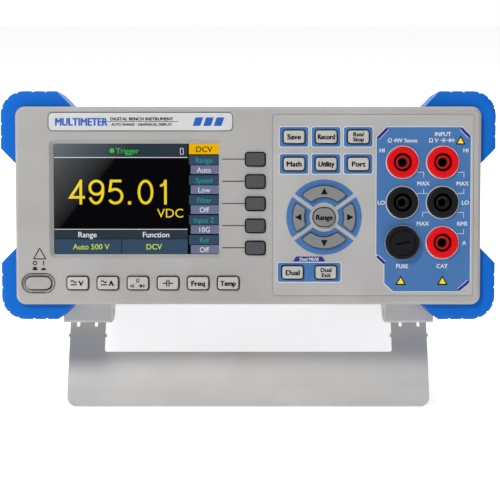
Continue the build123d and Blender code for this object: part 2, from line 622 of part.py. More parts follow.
def bumpers(span):
    right = both_up_and_down(corner_bumper(*span))
    return group(side for shape in right for side in both_sides(shape))


# ---- Tilt stand and feet ----
def arm_spans():
    """The two edges of the right arm, inner first."""
    return STAND_W / 2 - ARM_W, STAND_W / 2


def down_the_stand(lean, distance):
    """How far back and up a walk of this distance goes, leaning forward of straight down."""
    turn = math.radians(lean)
    return -distance * math.sin(turn), -distance * math.cos(turn)


def bend_point():
    back, up = down_the_stand(STAND_LEAN, BEND_AT)
    return HINGE_Y + back, HINGE_Z + up


def sheet_plane(y, z, lean):
    """A plane lying in the stand's sheet, with X to the right and local Y up the sheet."""
    turn = math.radians(lean)
    normal = (0, -math.cos(turn), math.sin(turn))
    return Plane(origin=(0, y, z), x_dir=(1, 0, 0), z_dir=normal)


def hanging(half_width, top, bottom):
    """A rectangle across the stand, from height top down to height bottom."""
    corners = [(-half_width, top), (half_width, top), (half_width, bottom), (-half_width, bottom)]
    return make_face(Polyline(*corners, close=True))


def bent_sheet(outline, y, z, lean):
    """An outline in the stand's sheet, thickened equally to both sides."""
    return extrude(sheet_plane(y, z, lean) * outline, amount=STAND_SHEET / 2, both=True)


def stand_plate():
    """The flat outline of the two arms and the cross plate, hanging from the hinge axis."""
    inner, outer = arm_spans()
    plate = hanging(outer, 0, -BEND_AT)
    window = hanging(inner, 1, -WINDOW_DEEP)
    plate -= fillet(window.vertices().group_by(Axis.Y)[0], WINDOW_R)
    slit = Rot(0, 0, 90) * SlotOverall(SLIT_DEEP + 4 * BARREL_R, SLIT_WIDE)
    for x in SLIT_X:
        for side in (-x, x):
            plate -= at(side, 2 * BARREL_R - SLIT_DEEP / 2, slit)
    for x in (inner, outer):
        for side in (-x, x):
            plate += at(side, -NUB_AT, Circle(NUB_R))
    return plate


def tilt_stand():
    """A bent sheet with two arms that turn on the hinge pins, in its deployed position."""
    inner, outer = arm_spans()
    upper = bent_sheet(stand_plate(), HINGE_Y, HINGE_Z, STAND_LEAN)
    y, z = bend_point()
    lip = hanging(outer, 0, -LIP_LONG)
    lip = fillet(lip.vertices().group_by(Axis.Y)[0], STAND_R)
    lip = bent_sheet(lip, y, z, STAND_LEAN - LIP_BEND)
    stand = upper + lip + across(-outer, y, z, STAND_SHEET / 2, 2 * outer)
    barrel = across(inner, HINGE_Y, HINGE_Z, BARREL_R, ARM_W)
    for x in SLIT_X:
        barrel -= slab(x, HINGE_Y, HINGE_Z, SLIT_WIDE, 4 * BARREL_R, 4 * BARREL_R)
    bore = across(inner, HINGE_Y, HINGE_Z, PIN_R + PIN_PLAY, ARM_W)
    for barrel_side, bore_side in zip(both_sides(barrel), both_sides(bore)):
        stand = stand + barrel_side - bore_side
    return stand


def hinge_bracket():
    """The right bracket: a box open at the back, whose front ledge stops the stand."""
    inner, outer = arm_spans()
    cheek = make_face(
        Polyline(
            (BRACKET_FRONT, BRACKET_TOP),
            (BRACKET_FRONT, FOOT_BOTTOM),
            (BRACKET_BACK, FOOT_BOTTOM),
            (BRACKET_BACK, BRACKET_TOP),
            close=True,
        )
    )
    low = cheek.vertices().group_by(Axis.Y)[0].sort_by(Axis.X)
    cheek = fillet(low[0], BRACKET_ROUND)
    low = cheek.vertices().group_by(Axis.Y)[0].sort_by(Axis.X)
    cheek = fillet(low[-1], BRACKET_CURVE)
    bracket = side_prism(cheek, BRACKET_IN, BRACKET_OUT)
    ledge_y = HINGE_Y - LEDGE_GAP
    hollow = make_face(
        Polyline(
            (BRACKET_FRONT + BRACKET_WALL, BRACKET_TOP - BRACKET_WALL),
            (BRACKET_FRONT + BRACKET_WALL, HINGE_Z - LEDGE_HIGH),
            (ledge_y, HINGE_Z - LEDGE_LOW),
            (ledge_y - LEDGE_DRAFT, FOOT_BOTTOM),
            (BRACKET_BACK + 1, FOOT_BOTTOM),
            (BRACKET_BACK + 1, BRACKET_TOP - BRACKET_WALL),
            close=True,
        )
    )
    bracket -= side_prism(hollow, inner - ARM_PLAY, outer + ARM_PLAY)
    return bracket - across(BRACKET_IN, HINGE_Y, HINGE_Z, PIN_R + PIN_HOLD, BRACKET_OUT - BRACKET_IN)


def hinge_pin():
    length = BRACKET_OUT - BRACKET_IN - 2 * PIN_SHORT
    return across(BRACKET_IN + PIN_SHORT, HINGE_Y, HINGE_Z, PIN_R, length)


def rear_foot():
    """A rounded block whose lower back edge is the one that the meter stands on."""
    height = BRACKET_TOP - FOOT_BOTTOM
    foot = slab(
        REAR_FOOT_X, REAR_FOOT_BACK - REAR_FOOT_LONG / 2, FOOT_BOTTOM + height / 2,
        REAR_FOOT_WIDE, REAR_FOOT_LONG, height,
    )
    foot = fillet(foot.edges().filter_by(Axis.Z), REAR_FOOT_R)
    return fillet(foot.faces().sort_by(Axis.Z)[0].edges(), FOOT_ROUND)


# ---- Inside the case ----
def main_board():
    """The measuring board and what stands on it, one solid each."""
    middle_x = (BOARD_POST_X[0] + BOARD_POST_X[-1]) / 2
    middle_y = (BOARD_POST_Y[0] + BOARD_POST_Y[-1]) / 2
    centre_z = MAIN_BOARD_Z + BOARD_THICK / 2
    top = MAIN_BOARD_Z + BOARD_THICK
    solids = [slab(middle_x, middle_y, centre_z, MAIN_BOARD_WIDE, MAIN_BOARD_LONG, BOARD_THICK)]
    for n in range(RELAY_COUNT):
        y = RELAY_Y + RELAY_PITCH * n
        solids.append(slab(RELAY_X, y, top + RELAY_SIZE[2] / 2, *RELAY_SIZE))
    for x, y, wide, long in CHIPS:
        solids.append(slab(x, y, top + CHIP_HIGH / 2, wide, long, CHIP_HIGH))
    for n in range(CAPACITOR_COUNT):
        place = Pos(CAPACITOR_PITCH * n, CAPACITOR_Y, top + CAPACITOR_HIGH / 2)
        solids.append(place * Cylinder(CAPACITOR_R, CAPACITOR_HIGH))
    solids.append(slab(SINK_X, SINK_Y, top + SINK_SIZE[2] / 2, *SINK_SIZE))
    return group(solids)


def power_transformer():
    """A laminated core on the tray with its winding through the middle."""
    z = TRAY_BOTTOM + SHEET + CORE_HIGH / 2
    core = slab(CORE_X, CORE_Y, z, CORE_WIDE, CORE_LONG, CORE_HIGH)
    for side in (-1, 1):
        y = CORE_Y + side * CORE_WINDOW_Y
        core -= slab(CORE_X, y, z, CORE_WIDE, CORE_WINDOW_LONG, CORE_WINDOW_HIGH)
    leg = 2 * CORE_WINDOW_Y - CORE_WINDOW_LONG
    long = leg + 2 * CORE_WINDOW_LONG - WINDING_GAP
    winding = slab(CORE_X, CORE_Y, z, WINDING_WIDE, long, CORE_WINDOW_HIGH - WINDING_GAP)
    winding -= slab(CORE_X, CORE_Y, z, CORE_WIDE + WINDING_GAP, leg + WINDING_GAP, CORE_WINDOW_HIGH)
    return group([core, winding])


# ---- Back ----
def rear_panel():
    plate = prism(RectangleRounded(PANEL_W, PANEL_H, PANEL_R), SLEEVE_BACK + 0.2, REAR_FACE)
    plate = chamfer(back_edges(plate), REAR_BEVEL)
    plate += tongue(SLEEVE_BACK - 5, SLEEVE_BACK + 0.2)
    for x, z, wide, high in REAR_WINDOWS + [(INLET_X, INLET_Z, INLET_W, INLET_H)]:
        window = Rectangle(wide + WINDOW_GAP, high + WINDOW_GAP)
        plate -= prism(at(x, z, window), SLEEVE_BACK, REAR_FACE)
    for z in BNC_HEIGHTS:
        plate -= rod(BNC_X, z, BNC_R + 0.1, SLEEVE_BACK, REAR_FACE)
    for x, z in REAR_SCREWS:
        plate += rod(x, z, BOSS_R, SLEEVE_BACK - BOSS_LONG, SLEEVE_BACK + 1)
        plate -= rod(x, z, SCREW_R + 0.05, SLEEVE_BACK - BOSS_LONG, REAR_FACE)
    return plate


def mains_inlet():
    """A three-pin inlet with its cavity above and the fuse drawer's slot below."""
    back = REAR_FACE + FLANGE_THICK
    margin = 2 * FLANGE_MARGIN
    flange = RectangleRounded(INLET_W + margin, INLET_H + margin, FLANGE_R)
    body = prism(at(INLET_X, INLET_Z, flange), REAR_FACE, back)
    body += prism(at(INLET_X, INLET_Z, Rectangle(INLET_W, INLET_H)), INLET_FRONT, REAR_FACE)
    half_w, half_h = CAVITY_W / 2, CAVITY_H / 2
    cavity = make_face(
        Polyline(
            (-half_w, -half_h),
            (half_w, -half_h),
            (half_w, half_h - CAVITY_CUT),
            (half_w - CAVITY_CUT, half_h),
            (CAVITY_CUT - half_w, half_h),
            (-half_w, half_h - CAVITY_CUT),
            close=True,
        )
    )
    body -= prism(at(INLET_X, CAVITY_Z, cavity), back - CAVITY_DEEP, back)
    for x, z in MAINS_PINS:
        pin = at(INLET_X + x, CAVITY_Z + z, Rectangle(MAINS_PIN_WIDE, MAINS_PIN_HIGH))
        body += prism(pin, back - CAVITY_DEEP - BOND, back - MAINS_PIN_SHORT)
    slot = at(INLET_X, DRAWER_Z, Rectangle(DRAWER_W + 2 * DRAWER_GAP, DRAWER_H + 2 * DRAWER_GAP))
    return body - prism(slot, DRAWER_FRONT - DRAWER_GAP, back)


def mains_fuse_drawer():
    """A small drawer with a finger tab, and room in it for the mains fuse."""
    front = at(INLET_X, DRAWER_Z, Rectangle(DRAWER_W, DRAWER_H))
    drawer = prism(front, DRAWER_FRONT, REAR_FACE + DRAWER_PROUD)
    y = DRAWER_FRONT + 2 + DRAWER_TROUGH / 2
    trough = (DRAWER_W - 2 * DRAWER_WALL, DRAWER_TROUGH, DRAWER_H - 2)
    drawer -= slab(INLET_X, y, DRAWER_Z + DRAWER_FLOOR - 1, *trough)
    y = REAR_FACE + DRAWER_PROUD + TAB_LONG / 2
    z = DRAWER_Z + DRAWER_H / 2 - TAB_HIGH / 2
    tab = slab(INLET_X, y, z, TAB_WIDE, TAB_LONG, TAB_HIGH)
    return drawer + fillet(tab.edges().filter_by(Axis.X).group_by(Axis.Y)[-1], 0.5)


def serial_port():
    """A nine-pin plug in its D-shaped shell, with its two jack screws."""
    shell = make_face(
        Polyline(
            (-SHELL_TOP, SHELL_HALF),
            (SHELL_TOP, SHELL_HALF),
            (SHELL_BOTTOM, -SHELL_HALF),
            (-SHELL_BOTTOM, -SHELL_HALF),
            close=True,
        )
    )
    shell = at(SERIAL_X, SERIAL_Z, fillet(shell.vertices(), SHELL_R))
    plate = at(SERIAL_X, SERIAL_Z, RectangleRounded(*SERIAL_PLATE))
    block = at(SERIAL_X, SERIAL_Z, Rectangle(SERIAL_WIDE, SERIAL_HIGH))
    body = prism(plate, REAR_FACE, REAR_FACE + SERIAL_PLATE_THICK)
    body += prism(block, SLEEVE_BACK - 6, REAR_FACE)
    body += prism(shell, REAR_FACE, REAR_FACE + SERIAL_PROUD)
    body -= prism(offset(shell, -SERIAL_WALL), REAR_FACE - 1, REAR_FACE + SERIAL_PROUD)
    pins = [(PIN_PITCH * (n - 2), PIN_ROW) for n in range(5)]
    pins += [(PIN_PITCH * (n - 1.5), -PIN_ROW) for n in range(4)]
    for x, z in pins:
        place = (SERIAL_X + x, SERIAL_Z + z)
        body += rod(*place, SERIAL_PIN_R, REAR_FACE - 1.5, REAR_FACE + SERIAL_PIN_PROUD)
    for x in (SERIAL_X - JACK_SCREW_X, SERIAL_X + JACK_SCREW_X):
        end = REAR_FACE + JACK_SCREW_PROUD
        post = prism(at(x, SERIAL_Z, RegularPolygon(JACK_SCREW_R, 6)), REAR_FACE, end)
        body += post - rod(x, SERIAL_Z, JACK_HOLE_R, REAR_FACE + 1, end)
    return body


def lan_port():
    end = REAR_FACE + PORT_PROUD
    body = prism(at(LAN_X, LAN_Z, Rectangle(LAN_WIDE, LAN_HIGH)), SLEEVE_BACK - 10, end)
    hole = at(LAN_X, LAN_Z, Rectangle(LAN_HOLE_W, LAN_HOLE_H))
    key = at(LAN_X, LAN_Z - LAN_KEY_DOWN, Rectangle(LAN_KEY_W, LAN_KEY_H))
    return body - prism(hole + key, REAR_FACE - LAN_DEEP, end)


def usb_port():
    end = REAR_FACE + PORT_PROUD
    body = prism(at(USB_X, USB_Z, Rectangle(USB_WIDE, USB_HIGH)), SLEEVE_BACK - 8, end)
    hole = at(USB_X, USB_Z, RectangleRounded(USB_HOLE_W, USB_HOLE_H, USB_HOLE_R))
    body -= prism(hole, REAR_FACE - USB_DEEP, end)
    tongue_outline = at(USB_X, USB_Z, Rectangle(USB_TONGUE_W, USB_TONGUE_H))
    return body + prism(tongue_outline, REAR_FACE - USB_DEEP - BOND, REAR_FACE - USB_TONGUE_SHORT)


def bnc_socket(x, z):
    """A round bayonet socket with its two lugs, hexagon nut and centre contact."""
    end = REAR_FACE + BNC_PROUD
    nut_back = REAR_FACE + BNC_NUT_THICK
    nut = prism(at(x, z, RegularPolygon(BNC_NUT_R, 6)), REAR_FACE, nut_back)
    body = rod(x, z, BNC_R, SLEEVE_BACK - 6, REAR_FACE) + nut
    body += rod(x, z, BNC_SHELL_R, nut_back, end)
    body += slab(x, REAR_FACE + BNC_LUGS_PROUD, z, *BNC_LUGS)
    body -= rod(x, z, BNC_HOLLOW_R, REAR_FACE + BNC_FLOOR, end)
    core_back = REAR_FACE + BNC_CORE_PROUD
    body += rod(x, z, BNC_CORE_R, REAR_FACE + BNC_FLOOR, core_back)
    return body - rod(x, z, BNC_CONTACT_R, core_back - BNC_CONTACT_DEEP, core_back)


def rear_screw(x, z):
    top = REAR_FACE + SCREW_HEAD_HIGH
    head = fillet(back_edges(rod(x, z, SCREW_HEAD_R, REAR_FACE, top)), SCREW_ROUND)
    for turn in (0, 90):
        cross = at(x, z, Rot(0, 0, turn) * Rectangle(CROSS_LONG, CROSS_WIDE))
        head -= prism(cross, top - CROSS_DEEP, top)
    return head + rod(x, z, SCREW_R, SLEEVE_BACK - 6, REAR_FACE)


# ---- Assembly ----
def sockets():
    names = {
        "socket_sense_high": (SENSE_X, HIGH_Z),
        "socket_input_high": (INPUT_X, HIGH_Z),
        "socket_sense_low": (SENSE_X, LOW_Z),
        "socket_input_low": (INPUT_X, LOW_Z),
        "socket_amps": (INPUT_X, AMPS_Z),
    }
    return {name: input_socket(x, z) for name, (x, z) in names.items()}


def assembly():
    """Every node's name with its shape, in the case's own frame."""
    nodes = {name: key_cap(outline) for name, (outline, _) in KEYS.items()}
    nodes |= sockets()
    nodes |= {
        "power_button": power_button(),
        "front_panel": front_panel(),
        "keypad_overlay": keypad_overlay(),
        "title_plate": title_plate(),
        "display_window": display_window(),
        "lcd_module": lcd_module(),
        "key_board": key_board(),
        "power_switch": power_switch(),
        "jack_contacts": group(jack_contact(x, z) for x, z in RED_SOCKETS + BLACK_SOCKETS),
        "fuse_holder": fuse_holder(),
        "fuse_cap": fuse_cap(),
        "fuse_carrier": fuse_carrier(),
        "fuse_link": fuse_link(),
        "top_cover": top_cover(),
        "chassis_tray": chassis_tray(),
        "front_bumpers": bumpers(FRONT_BUMPER),
        "rear_bumpers": bumpers(REAR_BUMPER),
        "tilt_stand": tilt_stand(),
        "hinge_brackets": group(both_sides(hinge_bracket())),
        "hinge_pins": group(both_sides(hinge_pin())),
        "rear_feet": group(both_sides(rear_foot())),
        "main_board": main_board(),
        "power_transformer": power_transformer(),
        "rear_panel": rear_panel(),
        "mains_inlet": mains_inlet(),
        "mains_fuse_drawer": mains_fuse_drawer(),
        "serial_port": serial_port(),
        "lan_port": lan_port(),
        "usb_port": usb_port(),
        "bnc_sockets": group(bnc_socket(BNC_X, z) for z in BNC_HEIGHTS),
        "rear_screws": group(rear_screw(x, z) for x, z in REAR_SCREWS),
    }
    return nodes


def lean_back():
    """How far the case leans back, in degrees, on the stand's edge and the rear feet."""
    y, z = bend_point()
    back, up = down_the_stand(STAND_LEAN - LIP_BEND, LIP_LONG - FOOT_ROUND)
    run = (REAR_FOOT_BACK - FOOT_ROUND) - (y + back)
    rise = (FOOT_BOTTOM + FOOT_ROUND) - (z + up)
    return math.degrees(math.atan2(rise, run))


def stand_up(nodes):
    """Lean every shape back and put the bottom centre of the whole box at the origin."""
    leaned = {name: Rot(-lean_back(), 0, 0) * shape for name, shape in nodes.items()}
    boxes = [shape.bounding_box() for shape in leaned.values()]
    low = [min(tuple(box.min)[axis] for box in boxes) for axis in range(3)]
    high = [max(tuple(box.max)[axis] for box in boxes) for axis in range(3)]
    shift = Pos(-(low[0] + high[0]) / 2, -(low[1] + high[1]) / 2, -low[2])
    return {name: shift * shape for name, shape in leaned.items()}


def main():
    os.makedirs("parts", exist_ok=True)
    for name, shape in stand_up(assembly()).items():
        export_step(shape, f"parts/{name}.step")


if __name__ == "__main__":
    main()
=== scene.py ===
"""The looks of a bench multimeter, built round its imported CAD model.

Places on the front and back are given in millimetres in the case's own frame, as in the model:
x to the right, z up, and h out of the front panel's face towards the user. CASE turns them into
the row frame, where the case leans back on its stand.
"""

import json
import math

import bmesh
import bpy
from mathutils import Matrix, Vector


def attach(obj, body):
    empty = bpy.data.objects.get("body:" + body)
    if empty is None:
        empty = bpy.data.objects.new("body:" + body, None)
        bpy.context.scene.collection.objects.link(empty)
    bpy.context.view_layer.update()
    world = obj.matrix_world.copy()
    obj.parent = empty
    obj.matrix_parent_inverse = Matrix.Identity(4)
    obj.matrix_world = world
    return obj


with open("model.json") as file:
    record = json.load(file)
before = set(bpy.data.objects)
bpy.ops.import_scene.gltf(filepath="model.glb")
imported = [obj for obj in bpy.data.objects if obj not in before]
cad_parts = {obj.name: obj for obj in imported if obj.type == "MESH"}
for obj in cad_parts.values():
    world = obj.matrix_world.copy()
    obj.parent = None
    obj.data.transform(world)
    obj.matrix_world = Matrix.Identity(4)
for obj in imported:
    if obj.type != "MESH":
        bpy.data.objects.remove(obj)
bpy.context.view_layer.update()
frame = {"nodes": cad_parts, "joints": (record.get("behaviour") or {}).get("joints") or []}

MM = 0.001
HINGE_Y, HINGE_Z = 49.5, -54.7  # the stand's hinge axis in the case's frame
INK = 0.03  # thickness of a printed film
CAPITAL = 0.729  # height of a capital in the built-in font, of its size
BOLD_STROKES = [(-1.0, -0.5), (-0.35, 0.5), (0.35, -0.5), (1.0, 0.5)]  # bold is four shifted copies
BOLD_LIFT = 0.003  # from each copy to the next
LETTER_STEPS = 3  # straight steps in each curve of a letter
HAIRLINE = 0.25  # width of the thin lines between the sockets
KEY_HOLE_W, KEY_HOLE_H, KEY_HOLE_R = 10.4, 6.5, 1.3
KEY_FLANGE = 0.9  # the rim that holds a key in, behind the panel
MENU_KEYS = ("key_save", "key_record", "key_run_stop", "key_math", "key_utility", "key_port")
SYMBOL_KEYS = ("key_volts", "key_amps", "key_ohms", "key_capacitance")
PAD_KEYS = {"key_right": 0, "key_up": 90, "key_left": 180, "key_down": 270}  # the way each points
SOCKETS = [
    "socket_sense_high", "socket_input_high", "socket_sense_low", "socket_input_low", "socket_amps",
]
KEY_WORDS = {
    "key_save": ["Save"], "key_record": ["Record"], "key_run_stop": ["Run/", "Stop"],
    "key_math": ["Math"], "key_utility": ["Utility"], "key_port": ["Port"],
    "key_dual": ["Dual"], "key_dual_exit": ["Dual", "Exit"], "key_range": ["Range"],
    "key_frequency": ["Freq"], "key_temperature": ["Temp"],
}
SOFT_LABELS = [("Range", "Auto"), ("Speed", "Low"), ("Filter", "Off"), ("Input Z", "10G"), ("Rel", "Off")]
WORD_WIDTH = 1.08  # how wide the words on the keys are drawn, and the long ones
NARROW_WORDS = {"Record": 0.83, "Utility": 0.92, "Range": 0.98, "Temp": 0.92}
KEY_WORD, KEY_WORD_BOLD = 2.45, 0.17  # height of the capitals on a key, and how far bold spreads
TWO_LINE_WORD, TWO_LINE_BOLD, TWO_LINE_WIDTH = 1.95, 0.13, 1.05
TWO_LINE_ROWS = (1.2, -1.2)
GAP_SHADE_OUTER, GAP_SHADE_OUTER_R = 1.3, 1.7  # painted shade round a key, beyond the key's own size
GAP_SHADE_INNER, GAP_SHADE_INNER_R = 0.6, 1.4


# ---- The case's frame ----
def joint(name):
    return next(item for item in frame["joints"] if item["name"] == name)


def case_matrix():
    """Takes (x, z, h) in millimetres to the row frame in metres."""
    back = Vector(joint("key_save_press")["axis"])
    right = Vector((1, 0, 0))
    up = right.cross(back)
    hinge = Vector(joint("stand_hinge")["pos_m"])
    origin = hinge - back * HINGE_Y * MM - up * HINGE_Z * MM
    turn = Matrix((right, up, -back)).transposed().to_4x4()
    return Matrix.Translation(origin) @ turn @ Matrix.Scale(MM, 4)


CASE = case_matrix()
FROM_REAR = Matrix.Rotation(math.pi, 4, "Y")  # the same axes, looking at the back


def extent(node):
    """Lowest and highest (x, z, h) of a CAD node, in the case's frame."""
    back_to_case = CASE.inverted()
    places = [back_to_case @ vertex.co for vertex in frame["nodes"][node].data.vertices]
    low = Vector([min(place[axis] for place in places) for axis in range(3)])
    high = Vector([max(place[axis] for place in places) for axis in range(3)])
    return low, high


def middle(node):
    low, high = extent(node)
    return (low.x + high.x) / 2, (low.y + high.y) / 2


def top_of(node):
    return extent(node)[1].z


# ---- Materials ----
PATCH_SCALE = 35.0  # of the patches in which colour and roughness drift, per metre
WEAR = 0.06  # how far the roughness drifts
SMOOTHEST = 0.03
SCREEN_GLOW = 0.9
GLARE_WAY = Vector((0.78, -0.63, 0.0))  # across the painted reflection, the glass's glare laid into the picture's glow, in the case's frame
GLARE_WIDE = 30.0
GLARE_FADE = [(0.0, 0.17), (0.45, 0.075), (0.96, 0.012), (1.0, 0.0)]  # place across, brightness
GLARE_TINT = (0.92, 0.96, 1.0)


def node_at(tree, kind, **sockets):
    """A new shader node with values on the sockets named."""
    made = tree.nodes.new(kind)
    for name, value in sockets.items():
        made.inputs[name.replace("_", " ")].default_value = value
    return made


def material(name, color, rough, **looks):
    """A surface whose colour and roughness drift a little and whose grain is a fine bump.

    looks: metal, specular, grain (the bump's scale, per metre), deep (its height, in metres),
    strength (the bump's), drift (how far the colour changes) and emit (the glow's strength).
    """
    made = bpy.data.materials.new(name)
    made.use_nodes = True
    tree = made.node_tree
    surface = tree.nodes["Principled BSDF"]
    surface.inputs["Metallic"].default_value = looks.get("metal", 0.0)
    surface.inputs["Specular IOR Level"].default_value = looks.get("specular", 0.5)
    where = tree.nodes.new("ShaderNodeTexCoord")

    drift = node_at(tree, "ShaderNodeTexNoise", Scale=PATCH_SCALE, Detail=4.0)
    tree.links.new(where.outputs["Object"], drift.inputs["Vector"])
    change = looks.get("drift", 0.06)
    ramp = tree.nodes.new("ShaderNodeValToRGB")
    dark, light = ramp.color_ramp.elements
    dark.position, light.position = 0.3, 0.7
    dark.color = [channel * (1 - change) for channel in color] + [1.0]
    light.color = [min(1.0, channel * (1 + change)) for channel in color] + [1.0]
    tree.links.new(drift.outputs["Fac"], ramp.inputs["Fac"])
    tree.links.new(ramp.outputs["Color"], surface.inputs["Base Color"])

    worn = tree.nodes.new("ShaderNodeMapRange")
    worn.inputs["To Min"].default_value = max(SMOOTHEST, rough - WEAR)
    worn.inputs["To Max"].default_value = min(1.0, rough + WEAR)
    tree.links.new(drift.outputs["Fac"], worn.inputs["Value"])
    tree.links.new(worn.outputs["Result"], surface.inputs["Roughness"])

    grain = node_at(tree, "ShaderNodeTexNoise", Scale=looks.get("grain", 2600.0), Detail=3.0)
    tree.links.new(where.outputs["Object"], grain.inputs["Vector"])
    bump = node_at(tree, "ShaderNodeBump", Strength=looks.get("strength", 0.25))
    bump.inputs["Distance"].default_value = looks.get("deep", 0.00006)
    tree.links.new(grain.outputs["Fac"], bump.inputs["Height"])
    tree.links.new(bump.outputs["Normal"], surface.inputs["Normal"])
    if "emit" in looks:
        tree.links.new(ramp.outputs["Color"], surface.inputs["Emission Color"])
        surface.inputs["Emission Strength"].default_value = looks["emit"]
    return made


def clear(name, color, rough, ior=1.45):
    """A clear solid, such as a fuse's glass, or a coated window that hardly reflects."""
    made = material(name, color, rough, strength=0.0)
    surface = made.node_tree.nodes["Principled BSDF"]
    surface.inputs["Transmission Weight"].default_value = 1.0
    surface.inputs["IOR"].default_value = ior
    return made


def brushed(name, color, rough, across):
    """A metal with fine lines along one direction, given by how far it is stretched."""
    made = material(name, color, rough, metal=1.0, drift=0.05)
    tree = made.node_tree
    grain = tree.nodes["Noise Texture.001"]
    where = tree.nodes["Texture Coordinate"]
    mapping = tree.nodes.new("ShaderNodeMapping")
    mapping.inputs["Scale"].default_value = across
    tree.links.new(where.outputs["Object"], mapping.inputs["Vector"])
    tree.links.new(mapping.outputs["Vector"], grain.inputs["Vector"])
    return made


MATERIALS = {
    "panel": material("panel", (0.345, 0.336, 0.325), 0.52, grain=2200.0, deep=0.00008),
    "overlay": material("overlay", (0.37, 0.365, 0.356), 0.48, grain=3000.0),
    "title": material("title", (0.55, 0.555, 0.56), 0.35, grain=3000.0),
    "bumper": material("bumper", (0.003, 0.115, 0.50), 0.7, specular=0.12, grain=1500.0, deep=0.0001),
    "light_key": material("light_key", (0.43, 0.42, 0.408), 0.45, specular=0.4),
    "power_key": material("power_key", (0.33, 0.322, 0.31), 0.5, specular=0.3),
    "pad_key": material("pad_key", (0.19, 0.19, 0.197), 0.48, specular=0.3),
    "dark_key": material("dark_key", (0.058, 0.058, 0.067), 0.45, specular=0.3),
    "window": clear("window", (0.97, 0.98, 0.99), 0.03, ior=1.14),
    "red": material("red", (0.62, 0.002, 0.006), 0.4, specular=0.15),
    "black": material("black", (0.005, 0.0055, 0.0065), 0.45, specular=0.16),
    # painted shade: near black for the rings laid where the gaps round the keys and the power button's
    # hollow fall in shade
    "gap_shade": material("gap_shade", (0.012, 0.012, 0.012), 0.8, specular=0.1),
    # painted shade: dark grey for the films in the softkey grooves and over the power button's hollow
    "groove": material("groove", (0.11, 0.107, 0.10), 0.7, specular=0.2),
    # painted shade: the contacts' colour is darkened to stand in for the shade deep in the socket bores
    "contact": material("contact", (0.10, 0.085, 0.07), 0.45, metal=1.0, grain=1200.0),
    "nickel": material("nickel", (0.66, 0.65, 0.63), 0.25, metal=1.0, grain=1200.0),
    "cover": material("cover", (0.44, 0.435, 0.42), 0.55, grain=1100.0, deep=0.00016, strength=0.5),
    "zinc": brushed("zinc", (0.62, 0.62, 0.64), 0.38, (1.0, 0.02, 0.02)),
    "stand": material("stand", (0.50, 0.49, 0.475), 0.5, grain=1500.0, deep=0.0001),
    "board": material("board", (0.012, 0.16, 0.05), 0.4),
    "core": material("core", (0.09, 0.08, 0.08), 0.5, grain=900.0, deep=0.0002, strength=0.5),
    "fuse": clear("fuse", (0.9, 0.95, 0.95), 0.05),
    "blue": material("blue", (0.035, 0.135, 0.345), 0.5, drift=0.03),
    "navy": material("navy", (0.004, 0.012, 0.20), 0.4, drift=0.03),
    "white_ink": material("white_ink", (0.60, 0.62, 0.64), 0.5, drift=0.02),
    "black_ink": material("black_ink", (0.004, 0.004, 0.005), 0.7, drift=0.03, specular=0.08),
    "blue_ink": material("blue_ink", (0.006, 0.085, 0.40), 0.4, drift=0.03),
    "yellow_ink": material("yellow_ink", (0.90, 0.62, 0.01), 0.4, drift=0.03),
}


def glowing(name, color):
    """A part of the display's picture, with a painted reflection, the glass's glare, added to its glow
    over the upper left corner.
    """
    made = material(name, (0.0, 0.0, 0.0), 0.5, drift=0.0, strength=0.0)
    tree = made.node_tree
    surface = tree.nodes["Principled BSDF"]
    surface.inputs["Specular IOR Level"].default_value = 0.0
    surface.inputs["Emission Strength"].default_value = SCREEN_GLOW

    # painted reflection: the glare is added to the emission colour, fading away from the window's upper
    # left corner
    low, high = extent("display_window")
    corner = CASE @ Vector((low.x, high.y, high.z))
    way = CASE.to_3x3() @ GLARE_WAY / MM / MM
    across = tree.nodes.new("ShaderNodeVectorMath")
    across.operation = "DOT_PRODUCT"
    across.inputs[1].default_value = way
    tree.links.new(tree.nodes["Texture Coordinate"].outputs["Object"], across.inputs[0])
    place = tree.nodes.new("ShaderNodeMapRange")
    place.inputs["From Min"].default_value = way.dot(corner)
    place.inputs["From Max"].default_value = way.dot(corner) + GLARE_WIDE
    tree.links.new(across.outputs["Value"], place.inputs["Value"])
    fade = tree.nodes.new("ShaderNodeValToRGB")
    ends = fade.color_ramp.elements
    while len(ends) < len(GLARE_FADE):
        ends.new(0.5)
    for end, (position, bright) in zip(ends, GLARE_FADE):
        end.position = position
        end.color = [channel + bright * tint for channel, tint in zip(color, GLARE_TINT)] + [1.0]
    tree.links.new(place.outputs["Result"], fade.inputs["Fac"])
    tree.links.new(fade.outputs["Color"], surface.inputs["Emission Color"])
    return made


SCREEN = {
    "black": glowing("screen_black", (0.002, 0.002, 0.003)),
    "slate": glowing("screen_slate", (0.03, 0.045, 0.06)),
    "steel": glowing("screen_steel", (0.042, 0.082, 0.135)),
    "lavender": glowing("screen_lavender", (0.175, 0.195, 0.32)),
    "white": glowing("screen_white", (0.85, 0.87, 0.88)),
    "teal": glowing("screen_teal", (0.02, 0.38, 0.38)),
    "yellow": glowing("screen_yellow", (0.98, 0.74, 0.02)),
    "lime": glowing("screen_lime", (0.62, 0.74, 0.06)),
    "amber": glowing("screen_amber", (0.95, 0.51, 0.003)),
    "green": glowing("screen_green", (0.03, 0.55, 0.05)),
}

NODE_LOOKS = {
    "front_panel": "panel",
    "keypad_overlay": "overlay",
    "title_plate": "title",
    "display_window": "window",
    "lcd_module": "black",
    "key_board": "board",
    "main_board": "board",
    "power_button": "power_key",
    "power_transformer": "core",
    "jack_contacts": "contact",
    "fuse_link": "fuse",
    "top_cover": "cover",
    "rear_panel": "cover",
    "chassis_tray": "zinc",
    "hinge_pins": "zinc",
    "rear_screws": "nickel",
    "front_bumpers": "bumper",
    "rear_bumpers": "bumper",
    "tilt_stand": "stand",
    "hinge_brackets": "stand",
    "serial_port": "nickel",
    "lan_port": "nickel",
    "usb_port": "nickel",
    "bnc_sockets": "nickel",
    "socket_sense_high": "red",
    "socket_input_high": "red",
    "socket_amps": "red",
}


